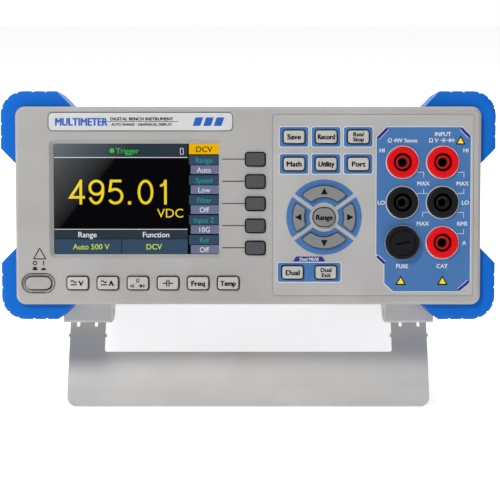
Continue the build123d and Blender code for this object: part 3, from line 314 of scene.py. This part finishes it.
def look_of(node):
    if node.startswith("softkey"):
        return "dark_key"
    if node in PAD_KEYS or node == "key_range":
        return "pad_key"
    if node.startswith("key_") and node not in NODE_LOOKS:
        return "light_key"
    return NODE_LOOKS.get(node, "black")


def dress_cad_nodes():
    for name, piece in frame["nodes"].items():
        look = MATERIALS[look_of(name)]
        piece.data.materials.clear()
        piece.data.materials.append(look)


# ---- Outlines, in millimetres ----
def rounded(x, z, width, height, radius, steps=6):
    """A rectangle with round corners."""
    points = []
    for corner in range(4):
        side_x = 1 if corner in (0, 3) else -1
        side_z = 1 if corner in (0, 1) else -1
        centre_x = x + side_x * (width / 2 - radius)
        centre_z = z + side_z * (height / 2 - radius)
        for step in range(steps + 1):
            turn = math.radians(90 * (corner + step / steps))
            points.append((centre_x + radius * math.cos(turn), centre_z + radius * math.sin(turn)))
    return points


def disc(x, z, radius, steps=64):
    turns = [2 * math.pi * step / steps for step in range(steps)]
    return [(x + radius * math.cos(turn), z + radius * math.sin(turn)) for turn in turns]


def capsule(x, z, width, height):
    """A bar with round ends, whose end arcs stop just short of meeting."""
    return rounded(x, z, width, height, height / 2 - 0.01, steps=12)


def box(x0, z0, x1, z1):
    return [(x0, z0), (x1, z0), (x1, z1), (x0, z1)]


def bar(x0, z0, x1, z1, wide):
    """A straight stroke of this width between two points."""
    along = Vector((x1 - x0, z1 - z0)).normalized()
    side = Vector((-along.y, along.x)) * wide / 2
    return [
        (x0 + side.x, z0 + side.y),
        (x1 + side.x, z1 + side.y),
        (x1 - side.x, z1 - side.y),
        (x0 - side.x, z0 - side.y),
    ]


def sector(x, z, inner, outer, start, end, gap, steps=20):
    """A ring's part between two angles in degrees, its straight sides moved in by gap."""
    points = []
    for radius, first, last in ((outer, start, end), (inner, end, start)):
        inset = math.degrees(math.asin(gap / radius)) * (1 if last > first else -1)
        for step in range(steps + 1):
            turn = math.radians(first + inset + (last - first - 2 * inset) * step / steps)
            points.append((x + radius * math.cos(turn), z + radius * math.sin(turn)))
    return points


def grown(points, by):
    """A convex outline pushed outward by a distance."""
    centre = Vector((sum(p[0] for p in points), sum(p[1] for p in points))) / len(points)
    made = []
    for index, point in enumerate(points):
        before = Vector(points[index - 1])
        here = Vector(point)
        after = Vector(points[(index + 1) % len(points)])
        sides = []
        for side in ((here - before).normalized(), (after - here).normalized()):
            normal = Vector((side.y, -side.x))
            sides.append(normal if normal.dot(here - centre) > 0 else -normal)
        sum_of = sides[0] + sides[1]
        made.append(tuple(here + sum_of * by / (1 + sides[0].dot(sides[1]))))
    return made


def ribbon(points, wide):
    """A stroke of even width along a path, with mitred corners."""
    path = [Vector(point) for point in points]
    left, right = [], []
    for index, here in enumerate(path):
        before = (here - path[index - 1]).normalized() if index else None
        after = (path[index + 1] - here).normalized() if index + 1 < len(path) else None
        first, second = before or after, after or before
        sides = [Vector((-way.y, way.x)) for way in (first, second)]
        reach = (sides[0] + sides[1]) * (wide / 2) / (1 + sides[0].dot(sides[1]))
        left.append(tuple(here + reach))
        right.append(tuple(here - reach))
    return left + right[::-1]


def oval(x, z, half_w, half_h, start=0.0, end=360.0, steps=40):
    """Points round an ellipse between two angles in degrees."""
    turns = [math.radians(start + (end - start) * step / steps) for step in range(steps + 1)]
    if abs(end - start) >= 360:
        turns.pop()
    return [(x + half_w * math.cos(turn), z + half_h * math.sin(turn)) for turn in turns]


# ---- Films and lettering ----
def add_piece(mesh, name, look, body, turn):
    """A mesh drawn in millimetres, turned into the row frame as one piece that rides a body."""
    mesh.transform(turn)
    data = bpy.data.meshes.new(name)
    mesh.to_mesh(data)
    mesh.free()
    data.materials.append(look)
    piece = bpy.data.objects.new(name, data)
    bpy.context.scene.collection.objects.link(piece)
    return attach(piece, body)


class Ink:
    """One printed layer: it gathers outlines and lettering, then becomes one piece."""

    def __init__(self, name, look, body, height, thick=INK, turn=CASE):
        self.name, self.look, self.body = name, look, body
        self.height, self.thick, self.turn = height, thick, turn
        self.mesh = bmesh.new()

    def _take(self, curve, place):
        holder = bpy.data.objects.new("ink", curve)
        made = bpy.data.meshes.new_from_object(holder)
        made.transform(Matrix.Translation((0, 0, self.height + self.thick / 2)) @ place)
        self.mesh.from_mesh(made)
        bpy.data.objects.remove(holder)
        bpy.data.meshes.remove(made)

    def shape(self, *outlines):
        """The first outline filled, with the others as holes."""
        curve = bpy.data.curves.new("ink", "CURVE")
        curve.dimensions, curve.fill_mode = "2D", "BOTH"
        curve.extrude = self.thick / 2
        for outline in outlines:
            spline = curve.splines.new("POLY")
            spline.points.add(len(outline) - 1)
            for point, (x, z) in zip(spline.points, outline):
                point.co = (x, z, 0, 1)
            spline.use_cyclic_u = True
        self._take(curve, Matrix())

    def line(self, *points, wide=0.3):
        for (x0, z0), (x1, z1) in zip(points, points[1:]):
            self.shape(bar(x0, z0, x1, z1, wide))

    def text(self, words, x, z, tall, bold=0.0, wide=1.0):
        """Lettering round a middle, whose capitals are this tall."""
        curve = bpy.data.curves.new("ink", "FONT")
        curve.body = words
        curve.size = tall / CAPITAL
        curve.resolution_u = LETTER_STEPS
        curve.extrude = self.thick / 2
        curve.align_x = "CENTER"
        strokes = BOLD_STROKES if bold else [(0.0, 0.0)]
        for layer, (side, rise) in enumerate(strokes):
            place = Matrix.Diagonal((wide, 1, 1, 1))
            place.translation = (x + side * bold, z - tall / 2 + rise * bold, layer * BOLD_LIFT)
            self._take(curve, place)

    def done(self):
        return add_piece(self.mesh, self.name, self.look, self.body, self.turn)


def ring(name, look, body, loops):
    """A closed ring through outlines with as many points each, given with their heights."""
    mesh = bmesh.new()
    rows = [[mesh.verts.new((x, z, height)) for x, z in outline] for outline, height in loops]
    for row, after in zip(rows, rows[1:] + rows[:1]):
        for index, vertex in enumerate(row):
            mesh.faces.new((row[index - 1], vertex, after[index], after[index - 1]))
    bmesh.ops.recalc_face_normals(mesh, faces=mesh.faces)
    return add_piece(mesh, name, look, body, CASE)


# ---- The plate on the right ----
FIELD_W, FIELD_H, FIELD_R = 13.6, 9.3, 1.0  # the blue field round a menu key
DUAL_W, DUAL_H = 29.9, 9.1  # and round the two dual keys
FIELD_RIM = 0.35  # the white border round each
HEADING_LOW, HEADING_HIGH = 5.1, 7.5  # the navy heading over the dual keys, above their middle
HEADING_FOOT, HEADING_HEAD, HEADING_WORD = 15.4, 12.4, 1.45
SOCKET_FIELD = [
    (60.8, 32.3), (65.6, 37.2), (101.4, 37.2), (105.4, 32.9), (105.4, -36.5),
    (99.9, -40.7), (68.9, -40.7), (64.7, -36.8), (64.7, -26.6), (60.8, -22.9),
]
CORNER_BARS = [
    (61.3, 31.9, 65.9, 36.6), (104.8, 32.6, 100.9, 36.6),
    (61.2, -23.9, 64.9, -27.3), (100.1, -40.0, 105.0, -35.9),
]
SOCKET_FIELD_RIM = 0.3
CORNER_EDGE, CORNER_BAR = 1.9, 1.4  # widths of a corner's white edge and of its navy bar
PAD_SECTORS = [(-35.5, 35.5), (35.5, 144.5), (144.5, 215.5), (215.5, 324.5)]
SOCKET_HOLE_R, SOCKET_HALO_R = 6.3, 7.95
FUSE_HOLE_R, FUSE_HALO_R = 7.2, 8.25
PLATE_WORD = 2.0  # height of the capitals round the sockets
CAPTION_BOLD, WORD_BOLD = 0.06, 0.07
SIGN_INNER = 0.62  # a sign's yellow part, of its whole size
CAPTION_Z, INPUT_Z = 31.0, 34.0  # the two rows of words over the sockets


def print_key_fields(layers):
    """The blue fields round the menu keys and the dual keys, and the heading of those."""
    for node in MENU_KEYS:
        x, z = middle(node)
        hole = rounded(x, z, KEY_HOLE_W, KEY_HOLE_H, KEY_HOLE_R)
        rim_w, rim_h = FIELD_W + 2 * FIELD_RIM, FIELD_H + 2 * FIELD_RIM
        layers["white"].shape(rounded(x, z, rim_w, rim_h, KEY_HOLE_R), hole)
        layers["blue"].shape(rounded(x, z, FIELD_W, FIELD_H, FIELD_R), hole)

    dual_x, z = middle("key_dual")
    exit_x, _ = middle("key_dual_exit")
    x = (dual_x + exit_x) / 2
    holes = [rounded(key, z, KEY_HOLE_W, KEY_HOLE_H, KEY_HOLE_R) for key in (dual_x, exit_x)]
    rim_w, rim_h = DUAL_W + 2 * FIELD_RIM, DUAL_H + 2 * FIELD_RIM
    layers["white"].shape(rounded(x, z, rim_w, rim_h, KEY_HOLE_R), *holes)
    layers["blue"].shape(rounded(x, z, DUAL_W, DUAL_H, FIELD_R), *holes)
    low, high = z + HEADING_LOW, z + HEADING_HIGH
    foot, head = HEADING_FOOT / 2, HEADING_HEAD / 2
    layers["navy"].shape([(x - foot, low), (x + foot, low), (x + head, high), (x - head, high)])
    layers["lettering"].text("Dual MEAS", x, (low + high) / 2, HEADING_WORD, bold=CAPTION_BOLD)


def print_arrow_pad(layers):
    """The blue ring round the arrow keys, and painted shade: a dark ring in the gap round each of its
    keys and round the range key.
    """
    x, z = middle("key_range")
    # painted shade round the range key, then round each arrow key
    layers["gaps"].shape(rounded(x, z, 11.1, 9.5, 4.6), rounded(x, z, 10.5, 8.9, 4.3))
    for start, end in PAD_SECTORS:
        key = sector(x, z, 9.2, 15.1, start, end, 1.95)
        layers["blue"].shape(sector(x, z, 6.9, 17.9, start, end, 0.9), key)
        edge = sector(x, z, 9.25, 15.05, start, end, 2.0)
        layers["gaps"].shape(edge, sector(x, z, 9.5, 14.8, start, end, 2.2))


def print_socket_field(layers):
    """The blue field round the sockets, its navy corners, and a white ring round each socket."""
    holes = [disc(*middle(node), SOCKET_HOLE_R) for node in SOCKETS]
    holes.append(disc(*middle("fuse_holder"), FUSE_HOLE_R))
    layers["white"].shape(grown(SOCKET_FIELD, SOCKET_FIELD_RIM), *holes)
    layers["blue"].shape(SOCKET_FIELD, *holes)
    for ends in CORNER_BARS:
        layers["lettering"].shape(bar(*ends, CORNER_EDGE))
        layers["corners"].shape(bar(*ends, CORNER_BAR))
    for node, hole in zip(SOCKETS + ["fuse_holder"], holes):
        radius = FUSE_HALO_R if node == "fuse_holder" else SOCKET_HALO_R
        layers["halos"].shape(disc(*middle(node), radius), hole)


def print_socket_words(layers):
    """Function words, thin lines and plain signs round the sockets."""
    ink = layers["lettering"]
    sense_x, high_z = middle("socket_sense_high")
    input_x, amps_z = middle("socket_amps")
    _, low_z = middle("socket_input_low")
    for words, x, z in (
        ("Ω 4W Sense", sense_x, CAPTION_Z),
        ("INPUT", input_x, INPUT_Z),
        ("Ω V", input_x - 4.4, CAPTION_Z),
    ):
        ink.text(words, x, z, PLATE_WORD, bold=CAPTION_BOLD)
    draw_capacitor(ink, input_x + 0.4, CAPTION_Z, 0.6)
    draw_diode(ink, input_x + 3.9, CAPTION_Z, 0.75)
    for words, x, z in (
        ("HI", 63.4, 26.3), ("HI", 103.1, 26.3), ("LO", 63.1, low_z), ("LO", 103.0, low_z),
        ("A", 102.6, amps_z), ("MAX", 83.0, 10.6), ("MAX", 101.6, 10.6), ("MAX", 82.8, -8.4),
        ("RMS", 101.6, -8.4), ("FUSE", sense_x, -28.6), ("CAT", input_x, -28.6),
    ):
        ink.text(words, x, z, PLATE_WORD, bold=WORD_BOLD)
    for x, reach in ((sense_x, 13.4), (input_x, 10.1)):
        draw_bracket(ink, x, high_z, low_z, reach)
    draw_bracket(ink, input_x, low_z, amps_z, 10.1)
    turn_x, line_z = sense_x + 9.7, low_z - 4.6
    ink.line((sense_x + 16.4, line_z), (turn_x, line_z), (turn_x, low_z - 6.8), wide=HAIRLINE)
    for x, z, half in (
        (sense_x - 0.6, -35.6, 2.6), (input_x + 0.2, -35.6, 2.6), (input_x + 8.4, 30.9, 2.4),
    ):
        layers["signs"].shape(triangle(x, z, half))
        layers["gold"].shape(triangle(x, z - 0.15, half * SIGN_INNER))


def print_right_plate():
    """The films and lettering of the plate round the keys and sockets."""
    face = top_of("keypad_overlay")
    layers = {
        "white": Ink("white_borders", MATERIALS["white_ink"], "case", face),
        "blue": Ink("blue_fields", MATERIALS["blue"], "case", face + INK),
        "navy": Ink("navy_fields", MATERIALS["navy"], "case", face + INK),
        "corners": Ink("navy_corners", MATERIALS["navy"], "case", face + 3 * INK),
        "signs": Ink("sign_borders", MATERIALS["black_ink"], "case", face + 2 * INK),
        "lettering": Ink("white_lettering", MATERIALS["white_ink"], "case", face + 2 * INK),
        "gold": Ink("yellow_signs", MATERIALS["yellow_ink"], "case", face + 3 * INK),
        "halos": Ink("socket_halos", MATERIALS["white_ink"], "case", face + 2 * INK),
        # painted shade in the gaps round the pad's keys
        "gaps": Ink("gap_shade_arrows", MATERIALS["gap_shade"], "case", face, 2 * INK),
    }
    print_key_fields(layers)
    print_arrow_pad(layers)
    print_socket_field(layers)
    print_socket_words(layers)
    for layer in layers.values():
        layer.done()


def triangle(x, z, half):
    """A plain upright triangle."""
    return [(x - half, z - half * 0.8), (x + half, z - half * 0.8), (x, z + half * 0.95)]


def draw_bracket(ink, x, upper, lower, reach):
    """The thin line from a socket out to a word beside it, and on to the socket below."""
    turn_x = x + 10.1
    ink.line((x + 7.0, upper - 4.7), (turn_x, upper - 4.7), (turn_x, upper - 7.2), wide=HAIRLINE)
    ink.line((turn_x, lower + 6.4), (turn_x, lower + 4.3), wide=HAIRLINE)
    ink.line((x + 7.0, lower + 4.3), (x + reach, lower + 4.3), wide=HAIRLINE)


def draw_capacitor(ink, x, z, scale):
    for side in (-1, 1):
        plate_x = x + side * 0.5 * scale
        ink.line((plate_x, z - 1.6 * scale), (plate_x, z + 1.6 * scale), wide=0.55 * scale)
        ink.line((plate_x, z), (x + side * 2.5 * scale, z), wide=0.5 * scale)


def draw_diode(ink, x, z, scale):
    low, high = z - 1.4 * scale, z + 1.4 * scale
    ink.shape([(x - 1.3 * scale, low), (x + 1.0 * scale, z), (x - 1.3 * scale, high)])
    ink.line((x + 1.2 * scale, low), (x + 1.2 * scale, high), wide=0.5 * scale)
    ink.line((x - 2.6 * scale, z), (x + 2.6 * scale, z), wide=0.45 * scale)


def draw_both_kinds(ink, x, z, scale):
    """A wave over a bar, for alternating and direct current."""
    half, apart, wide = 1.4 * scale, 0.75 * scale, 0.58 * scale
    wave = []
    for step in range(13):
        wave.append((x + half * (step / 6 - 1), z + apart + 0.45 * scale * math.sin(step * math.pi / 6)))
    ink.line(*wave, wide=wide)
    ink.line((x - half, z - apart), (x + half, z - apart), wide=wide)


def legend(node):
    """The lettering on a key, which rides with it."""
    return Ink("legend_" + node, MATERIALS["black_ink"], node, top_of(node))


def print_key_words():
    for node, words in KEY_WORDS.items():
        x, z = middle(node)
        ink = legend(node)
        if len(words) == 1:
            wide = NARROW_WORDS.get(words[0], WORD_WIDTH)
            ink.text(words[0], x, z, KEY_WORD, bold=KEY_WORD_BOLD, wide=wide)
        else:
            for line, row in zip(words, TWO_LINE_ROWS):
                ink.text(line, x, z + row, TWO_LINE_WORD, bold=TWO_LINE_BOLD, wide=TWO_LINE_WIDTH)
        ink.done()


def print_key_symbols():
    for node, letter in (("key_volts", "V"), ("key_amps", "A")):
        x, z = middle(node)
        ink = legend(node)
        draw_both_kinds(ink, x - 1.8, z, 1.0)
        ink.text(letter, x + 1.7, z, 2.5, bold=0.18, wide=1.05)
        ink.done()

    x, z = middle("key_ohms")
    ink = legend("key_ohms")
    ink.text("Ω", x, z + 1.25, 1.7, bold=0.1)
    beep_x, row_z = x - 3.2, z - 1.3
    for radius in (0.7, 1.3):
        ink.line(*oval(beep_x, row_z, radius, radius, -50, 50, 5), wide=0.32)
    ink.shape(disc(beep_x, row_z, 0.42, 16))
    draw_diode(ink, x + 2.0, row_z, 0.7)
    ink.done()

    x, z = middle("key_capacitance")
    ink = legend("key_capacitance")
    draw_capacitor(ink, x, z, 1.0)
    ink.done()


def print_key_arrows():
    """An arrowhead on each arrow key, pointing out from the middle of the pad."""
    pad_x, pad_z = middle("key_range")
    for node, turn in PAD_KEYS.items():
        spin = math.radians(turn)
        points = []
        for out, side in ((13.9, 0), (10.8, 1.6), (10.8, -1.6)):
            x = pad_x + out * math.cos(spin) - side * math.sin(spin)
            z = pad_z + out * math.sin(spin) + side * math.cos(spin)
            points.append((x, z))
        ink = legend(node)
        ink.shape(points)
        ink.done()


def add_gap_shades():
    """Painted shade round every key but those of the pad: a dark ring on the panel by each key's hole,
    for the shaded gap with the dark rubber mat seen through it.
    """
    plate_left = extent("keypad_overlay")[0].x
    for node in frame["nodes"]:
        square = node.startswith("softkey") or node in (*KEY_WORDS, *SYMBOL_KEYS)
        if node == "key_range" or not square:
            continue
        x, z = middle(node)
        low, high = extent(node)
        wide, tall = high.x - low.x - 2 * KEY_FLANGE, high.y - low.y - 2 * KEY_FLANGE
        face = top_of("keypad_overlay") + INK if x > plate_left else 0.0
        # painted shade: a dark ring round the key on the panel's face
        ink = Ink("gap_shade_" + node, MATERIALS["gap_shade"], "case", face, 2 * INK)
        outer = rounded(x, z, wide + GAP_SHADE_OUTER, tall + GAP_SHADE_OUTER, GAP_SHADE_OUTER_R)
        inner = rounded(x, z, wide + GAP_SHADE_INNER, tall + GAP_SHADE_INNER, GAP_SHADE_INNER_R)
        ink.shape(outer, inner)
        ink.done()


# ---- The panel's left ----
GROOVE_LEFT, GROOVE_RIGHT, GROOVE_UP = -12.4, -1.6, 0.1  # the grooves from the display to its keys
GROOVE_WIDE, GROOVE_DEEP = 0.5, 0.3
HOLLOW_OUTER, HOLLOW_INNER, HOLLOW_DEEP = 1.72, 0.5, 1.25  # the painted shade over the slope of the hollow round the power button
# the dark line of painted shade along the hollow's edge
HOLLOW_EDGE_OUTER, HOLLOW_EDGE_INNER = 1.95, 1.7
STRIPES, STRIPE_WIDE, STRIPE_STEP, STRIPE_LEAN = 3, 3.6, 5.0, 1.4
STRIPES_FROM_RIGHT, STRIPE_HALF = 19.0, 2.0


def print_title():
    """Generic words and three stripes on the title plate."""
    x, z = middle("title_plate")
    low, high = extent("title_plate")
    rim = Ink("title_rim", MATERIALS["black_ink"], "case", high.z)
    width, height = high.x - low.x, high.y - low.y
    rim.shape(rounded(x, z, width, height, 2.2), rounded(x, z, width - 0.4, height - 0.4, 2.0))
    rim.text("DIGITAL BENCH INSTRUMENT", x + 0.6, z + 1.3, 1.45, bold=0.1, wide=1.1)
    rim.line((x - 16.5, z), (x + 17.7, z), wide=0.25)
    rim.text("AUTO RANGE - GRAPHICAL DISPLAY", x + 0.6, z - 1.3, 1.2, bold=0.08, wide=1.05)
    rim.done()
    name = Ink("title_words", MATERIALS["blue_ink"], "case", high.z)
    name.text("MULTIMETER", low.x + 15.6, z, 3.7, bold=0.22, wide=0.84)
    low_z, high_z = z - STRIPE_HALF, z + STRIPE_HALF
    for stripe in range(STRIPES):
        foot = high.x - STRIPES_FROM_RIGHT + STRIPE_STEP * stripe
        head = foot + STRIPE_LEAN
        low_end, high_end = foot + STRIPE_WIDE, head + STRIPE_WIDE
        name.shape([(foot, low_z), (low_end, low_z), (high_end, high_z), (head, high_z)])
    name.done()


def print_power_surround():
    """Painted shade round the power button: a dark film over the slope of its hollow, and a dark line
    along the hollow's edge on the panel.
    """
    x, z = middle("power_button")
    low, high = extent("power_button")
    wide, tall = high.x - low.x - 2 * KEY_FLANGE, high.y - low.y - 2 * KEY_FLANGE

    def around(by):
        return capsule(x, z, wide + 2 * by, tall + 2 * by)

    slope = [
        (HOLLOW_OUTER, INK), (HOLLOW_INNER, INK - HOLLOW_DEEP),
        (HOLLOW_INNER, -INK - HOLLOW_DEEP), (HOLLOW_OUTER, -INK),
    ]
    loops = [(around(by), height) for by, height in slope]
    ring("power_hollow_shade", MATERIALS["groove"], "case", loops)
    edge = Ink("power_edge_shade", MATERIALS["gap_shade"], "case", 0.0, 2 * INK)
    edge.shape(around(HOLLOW_EDGE_OUTER), around(HOLLOW_EDGE_INNER))
    edge.done()


def print_softkey_lines():
    """Painted shade in the panel's grooves, from the display to its keys: a dark line along each groove's
    floor.
    """
    # painted shade on the grooves' floors
    lines = Ink("softkey_line_shade", MATERIALS["groove"], "case", -GROOVE_DEEP, 2 * INK)
    for row in range(len(SOFT_LABELS)):
        _, z = middle(f"softkey_{row + 1}")
        line_z = z + GROOVE_UP
        lines.line((GROOVE_LEFT, line_z), (GROOVE_RIGHT, line_z), wide=GROOVE_WIDE)
    lines.done()


def print_power_signs():
    """A plain triangle, and the button's out and in signs, above the power button."""
    x, _ = middle("power_button")
    out_x, in_x = x - 1.6, x + 2.5
    signs = Ink("power_signs", MATERIALS["black_ink"], "case", 0.0)
    sign = triangle(x + 0.7, -22.9, 2.9)
    signs.line(*sign, sign[0], wide=0.5)
    signs.shape(disc(out_x, -27.2, 1.05, 32), disc(out_x, -27.2, 0.6, 32))
    signs.line((in_x, -28.2), (in_x, -26.1), wide=0.5)
    for sign_x in (out_x, in_x):
        signs.line((sign_x - 1.4, -30.4), (sign_x + 1.4, -30.4), wide=0.4)
    signs.shape(rounded(out_x, -29.7, 1.8, 1.2, 0.2))
    signs.shape(rounded(in_x, -29.9, 1.7, 0.7, 0.2))
    signs.done()


# ---- The display's picture ----
LAYER_STEP = 0.02  # from one layer of the picture to the next
PICTURE_RIM = 1.6  # from the window's edge to the picture
DIGIT_H, DIGIT_W, STROKE = 11.8, 7.5, 1.25
DIGIT_STEP, POINT_STEP = 9.2, 5.0


def digit(name):
    """The outlines of one figure of the reading, each with its holes, from its lower left."""
    half = STROKE / 2
    right, top, mid = DIGIT_W - half, DIGIT_H - half, DIGIT_W / 2
    if name == "0":
        tall = DIGIT_H / 2
        return [(oval(mid, tall, mid, tall), oval(mid, tall, mid - STROKE, tall - STROKE))]
    if name == "1":
        flag = [(mid - 2.2, DIGIT_H - 3.0), (mid - 0.6, DIGIT_H - 2.3), (mid + 0.3, DIGIT_H - 0.4)]
        return [(ribbon([(mid + 0.3, 0), (mid + 0.3, DIGIT_H)], STROKE),), (ribbon(flag, 1.1),)]
    if name == "4":
        stem = DIGIT_W - 2.0
        return [(ribbon([(stem, 0), (stem, DIGIT_H)], STROKE),),
                (ribbon([(stem, top - 0.2), (0.6, 3.4), (DIGIT_W, 3.4)], STROKE),)]
    if name == "5":
        bowl = oval(mid - 0.2, 3.95, mid - half + 0.1, 3.95 - half, 128, -148, 30)
        return [(ribbon([(right - 0.4, top), (1.6, top), (0.85, 5.9)], STROKE),), (ribbon(bowl, STROKE),)]
    if name == "9":
        loop = (oval(mid, 8.0, mid, 3.8), oval(mid, 8.0, mid - STROKE, 3.8 - STROKE))
        tail = oval(mid - 0.2, 6.4, mid - half + 0.2, 6.4 - half, 12, -148, 26)
        return [loop, (ribbon(tail, STROKE),)]
    return [(box(0.4, 0, 0.4 + 1.5, 1.5),)]


def draw_reading(ink, words, x, z):
    for name in words:
        for outlines in digit(name):
            ink.shape(*[[(x + px, z + pz) for px, pz in outline] for outline in outlines])
        x += POINT_STEP if name == "." else DIGIT_STEP


SIDE = 64.3  # from the picture's left edge to its right-hand column
MAIN_RIGHT = SIDE - 0.7
TOP_BAR, TAB_TALL = 6.4, 5.0
NAMES_TOP, NAMES_BOTTOM, VALUES_TOP = 41.0, 45.3, 45.5  # the two rows at the picture's foot
RULE = 0.3  # thickness of the white rules
ROW_WORD, SIDE_WORD, SIDE_WORD_WIDTH = 2.7, 2.6, 0.94
SIDE_TOP, SIDE_STEP = 5.5, 9.5  # the softkeys' labels
SIDE_TITLE, SIDE_VALUE_TOP, SIDE_VALUE_BOTTOM = 4.5, 4.8, 8.9


def print_display():
    """The picture behind the window, drawn from its upper left corner."""
    low, high = extent("display_window")
    left, top = low.x + PICTURE_RIM, high.y - PICTURE_RIM
    wide, tall = high.x - low.x - 2 * PICTURE_RIM, high.y - low.y - 2 * PICTURE_RIM
    face = top_of("lcd_module")

    def layer(look, level):
        return Ink("picture_" + look, SCREEN[look], "case", face + level * LAYER_STEP, LAYER_STEP * 0.9)

    def area(ink, x0, y0, x1, y1):
        ink.shape(box(left + x0, top - y1, left + x1, top - y0))

    ground, slate, steel = layer("black", 0), layer("slate", 1), layer("steel", 1)
    lavender, amber, white = layer("lavender", 1), layer("amber", 1), layer("white", 2)
    teal, yellow, lime, green = layer("teal", 2), layer("yellow", 2), layer("lime", 2), layer("green", 2)
    area(ground, 0, 0, wide, tall)
    area(slate, 0, 0, MAIN_RIGHT, TOP_BAR)
    area(slate, 0, NAMES_TOP, MAIN_RIGHT, NAMES_BOTTOM)
    area(steel, 0, VALUES_TOP, 31.9, tall)
    area(steel, 32.2, VALUES_TOP, MAIN_RIGHT, tall)
    for rule_top in (TOP_BAR, NAMES_TOP - 0.4):
        area(white, 0, rule_top, MAIN_RIGHT, rule_top + RULE)
    area(amber, SIDE, 0, wide, TAB_TALL)
    tab_word = layer("black", 2)
    tab_word.name = "picture_tab_word"
    side_x = (SIDE + wide) / 2
    for words, x, y, size, ink in (
        ("DCV", side_x, 2.6, 2.8, tab_word),
        ("Range", 15.7, 43.2, ROW_WORD, white), ("Function", 48.5, 43.2, ROW_WORD, white),
        ("Auto 500 V", 17.5, 49.0, ROW_WORD, lime), ("DCV", 47.5, 49.0, ROW_WORD, lime),
        ("Trigger", 35.0, 3.3, ROW_WORD, green),
    ):
        ink.text(words, left + x, top - y, size, bold=0.05)
    draw_reading(yellow, "495.01", left + 7.2, top - 28.9)
    yellow.text("VDC", left + 55.4, top - 32.9, 4.4, wide=1.02)
    green.shape(disc(left + 27.6, top - 3.3, 1.1, 32))
    stick = box(left + 60.2, top - 5.0, left + 61.6, top - 2.2)
    white.line(*stick, stick[0], wide=0.25)
    for row, (title, value) in enumerate(SOFT_LABELS):
        y = SIDE_TOP + SIDE_STEP * row
        area(steel, SIDE, y, wide, y + SIDE_TITLE)
        area(lavender, SIDE + 0.8, y + SIDE_VALUE_TOP, wide, y + SIDE_VALUE_BOTTOM)
        teal.text(title, left + side_x, top - y - 2.3, SIDE_WORD, wide=SIDE_WORD_WIDTH)
        white.text(value, left + side_x, top - y - 6.9, SIDE_WORD, wide=SIDE_WORD_WIDTH)
    for ink in (ground, slate, steel, lavender, amber, white, tab_word, teal, yellow, lime, green):
        ink.done()


# ---- The back ----
def print_rear():
    """Plain function words beside the rear connectors."""
    face = -extent("rear_panel")[0].z
    ink = Ink("rear_lettering", MATERIALS["black_ink"], "case", face, turn=CASE @ FROM_REAR)
    for node, words in (("serial_port", "SERIAL"), ("lan_port", "LAN"), ("usb_port", "USB"),
                        ("mains_inlet", "AC IN")):
        x, _ = middle(node)
        top = extent(node)[1].y
        ink.text(words, -x, top + 3.0, 2.4, bold=0.08)
    ink.done()


# ---- Stage ----
CAMERA_AT = (0.9, 6.2, 600.0)  # in the case's frame
CAMERA_LOOKS_AT = (0.85, -21.0, 0.0)
LENS = 91.0
WORLD_FRONT, WORLD_BACK = 0.09, 1.0  # the studio is bright behind the object and dimmer in front
WORLD_TURNS = (-0.3, 0.6)  # where it starts and ends getting brighter, as a direction's y
FLOOR_SIDE, FLOOR_GLOW = 8.0, 0.55
LAMPS_AIM = Vector((0, 0, 0.08))
LAMPS = [  # name, place, side and power of each soft light
    ("key_light", (-0.65, -1.0, 1.1), 0.3, 15.0),
    ("fill_light", (0.9, -1.1, 0.5), 0.7, 0.8),
    ("top_light", (0.0, 0.1, 1.4), 1.0, 6.0),
    ("rear_light", (0.2, 1.2, 0.55), 0.9, 11.0),
]


def add_floor():
    bpy.ops.mesh.primitive_plane_add(size=FLOOR_SIDE)
    floor = bpy.context.object
    floor.name = "floor"
    white = material("floor", (0.9, 0.9, 0.9), 0.8, drift=0.01, strength=0.05, emit=FLOOR_GLOW)
    floor.data.materials.append(white)


def add_camera():
    camera = bpy.data.objects.new("camera", bpy.data.cameras.new("camera"))
    bpy.context.scene.collection.objects.link(camera)
    camera.data.lens = LENS
    camera.location = CASE @ Vector(CAMERA_AT)
    towards = CASE @ Vector(CAMERA_LOOKS_AT) - camera.location
    camera.rotation_euler = towards.to_track_quat("-Z", "Y").to_euler()
    bpy.context.scene.camera = camera


def add_world():
    world = bpy.data.worlds.new("world")
    world.use_nodes = True
    tree = world.node_tree
    where = tree.nodes.new("ShaderNodeTexCoord")
    parts = tree.nodes.new("ShaderNodeSeparateXYZ")
    fade = tree.nodes.new("ShaderNodeMapRange")
    fade.inputs["From Min"].default_value = WORLD_TURNS[0]
    fade.inputs["From Max"].default_value = WORLD_TURNS[1]
    fade.inputs["To Min"].default_value = WORLD_FRONT
    fade.inputs["To Max"].default_value = WORLD_BACK
    tree.links.new(where.outputs["Generated"], parts.inputs["Vector"])
    tree.links.new(parts.outputs["Y"], fade.inputs["Value"])
    tree.links.new(fade.outputs["Result"], tree.nodes["Background"].inputs["Strength"])
    tree.nodes["Background"].inputs["Color"].default_value = (1.0, 1.0, 1.0, 1.0)
    bpy.context.scene.world = world
    bpy.context.scene.view_settings.view_transform = "Standard"


def add_lamps():
    for name, place, size, power in LAMPS:
        lamp = bpy.data.objects.new(name, bpy.data.lights.new(name, "AREA"))
        lamp.data.size = size
        lamp.data.energy = power
        lamp.location = place
        lamp.rotation_euler = (LAMPS_AIM - lamp.location).to_track_quat("-Z", "Y").to_euler()
        bpy.context.scene.collection.objects.link(lamp)


add_floor()
add_camera()
add_world()
add_lamps()
dress_cad_nodes()
print_right_plate()
print_key_words()
print_key_symbols()
print_key_arrows()
add_gap_shades()
print_title()
print_power_surround()
print_softkey_lines()
print_power_signs()
print_display()
print_rear()
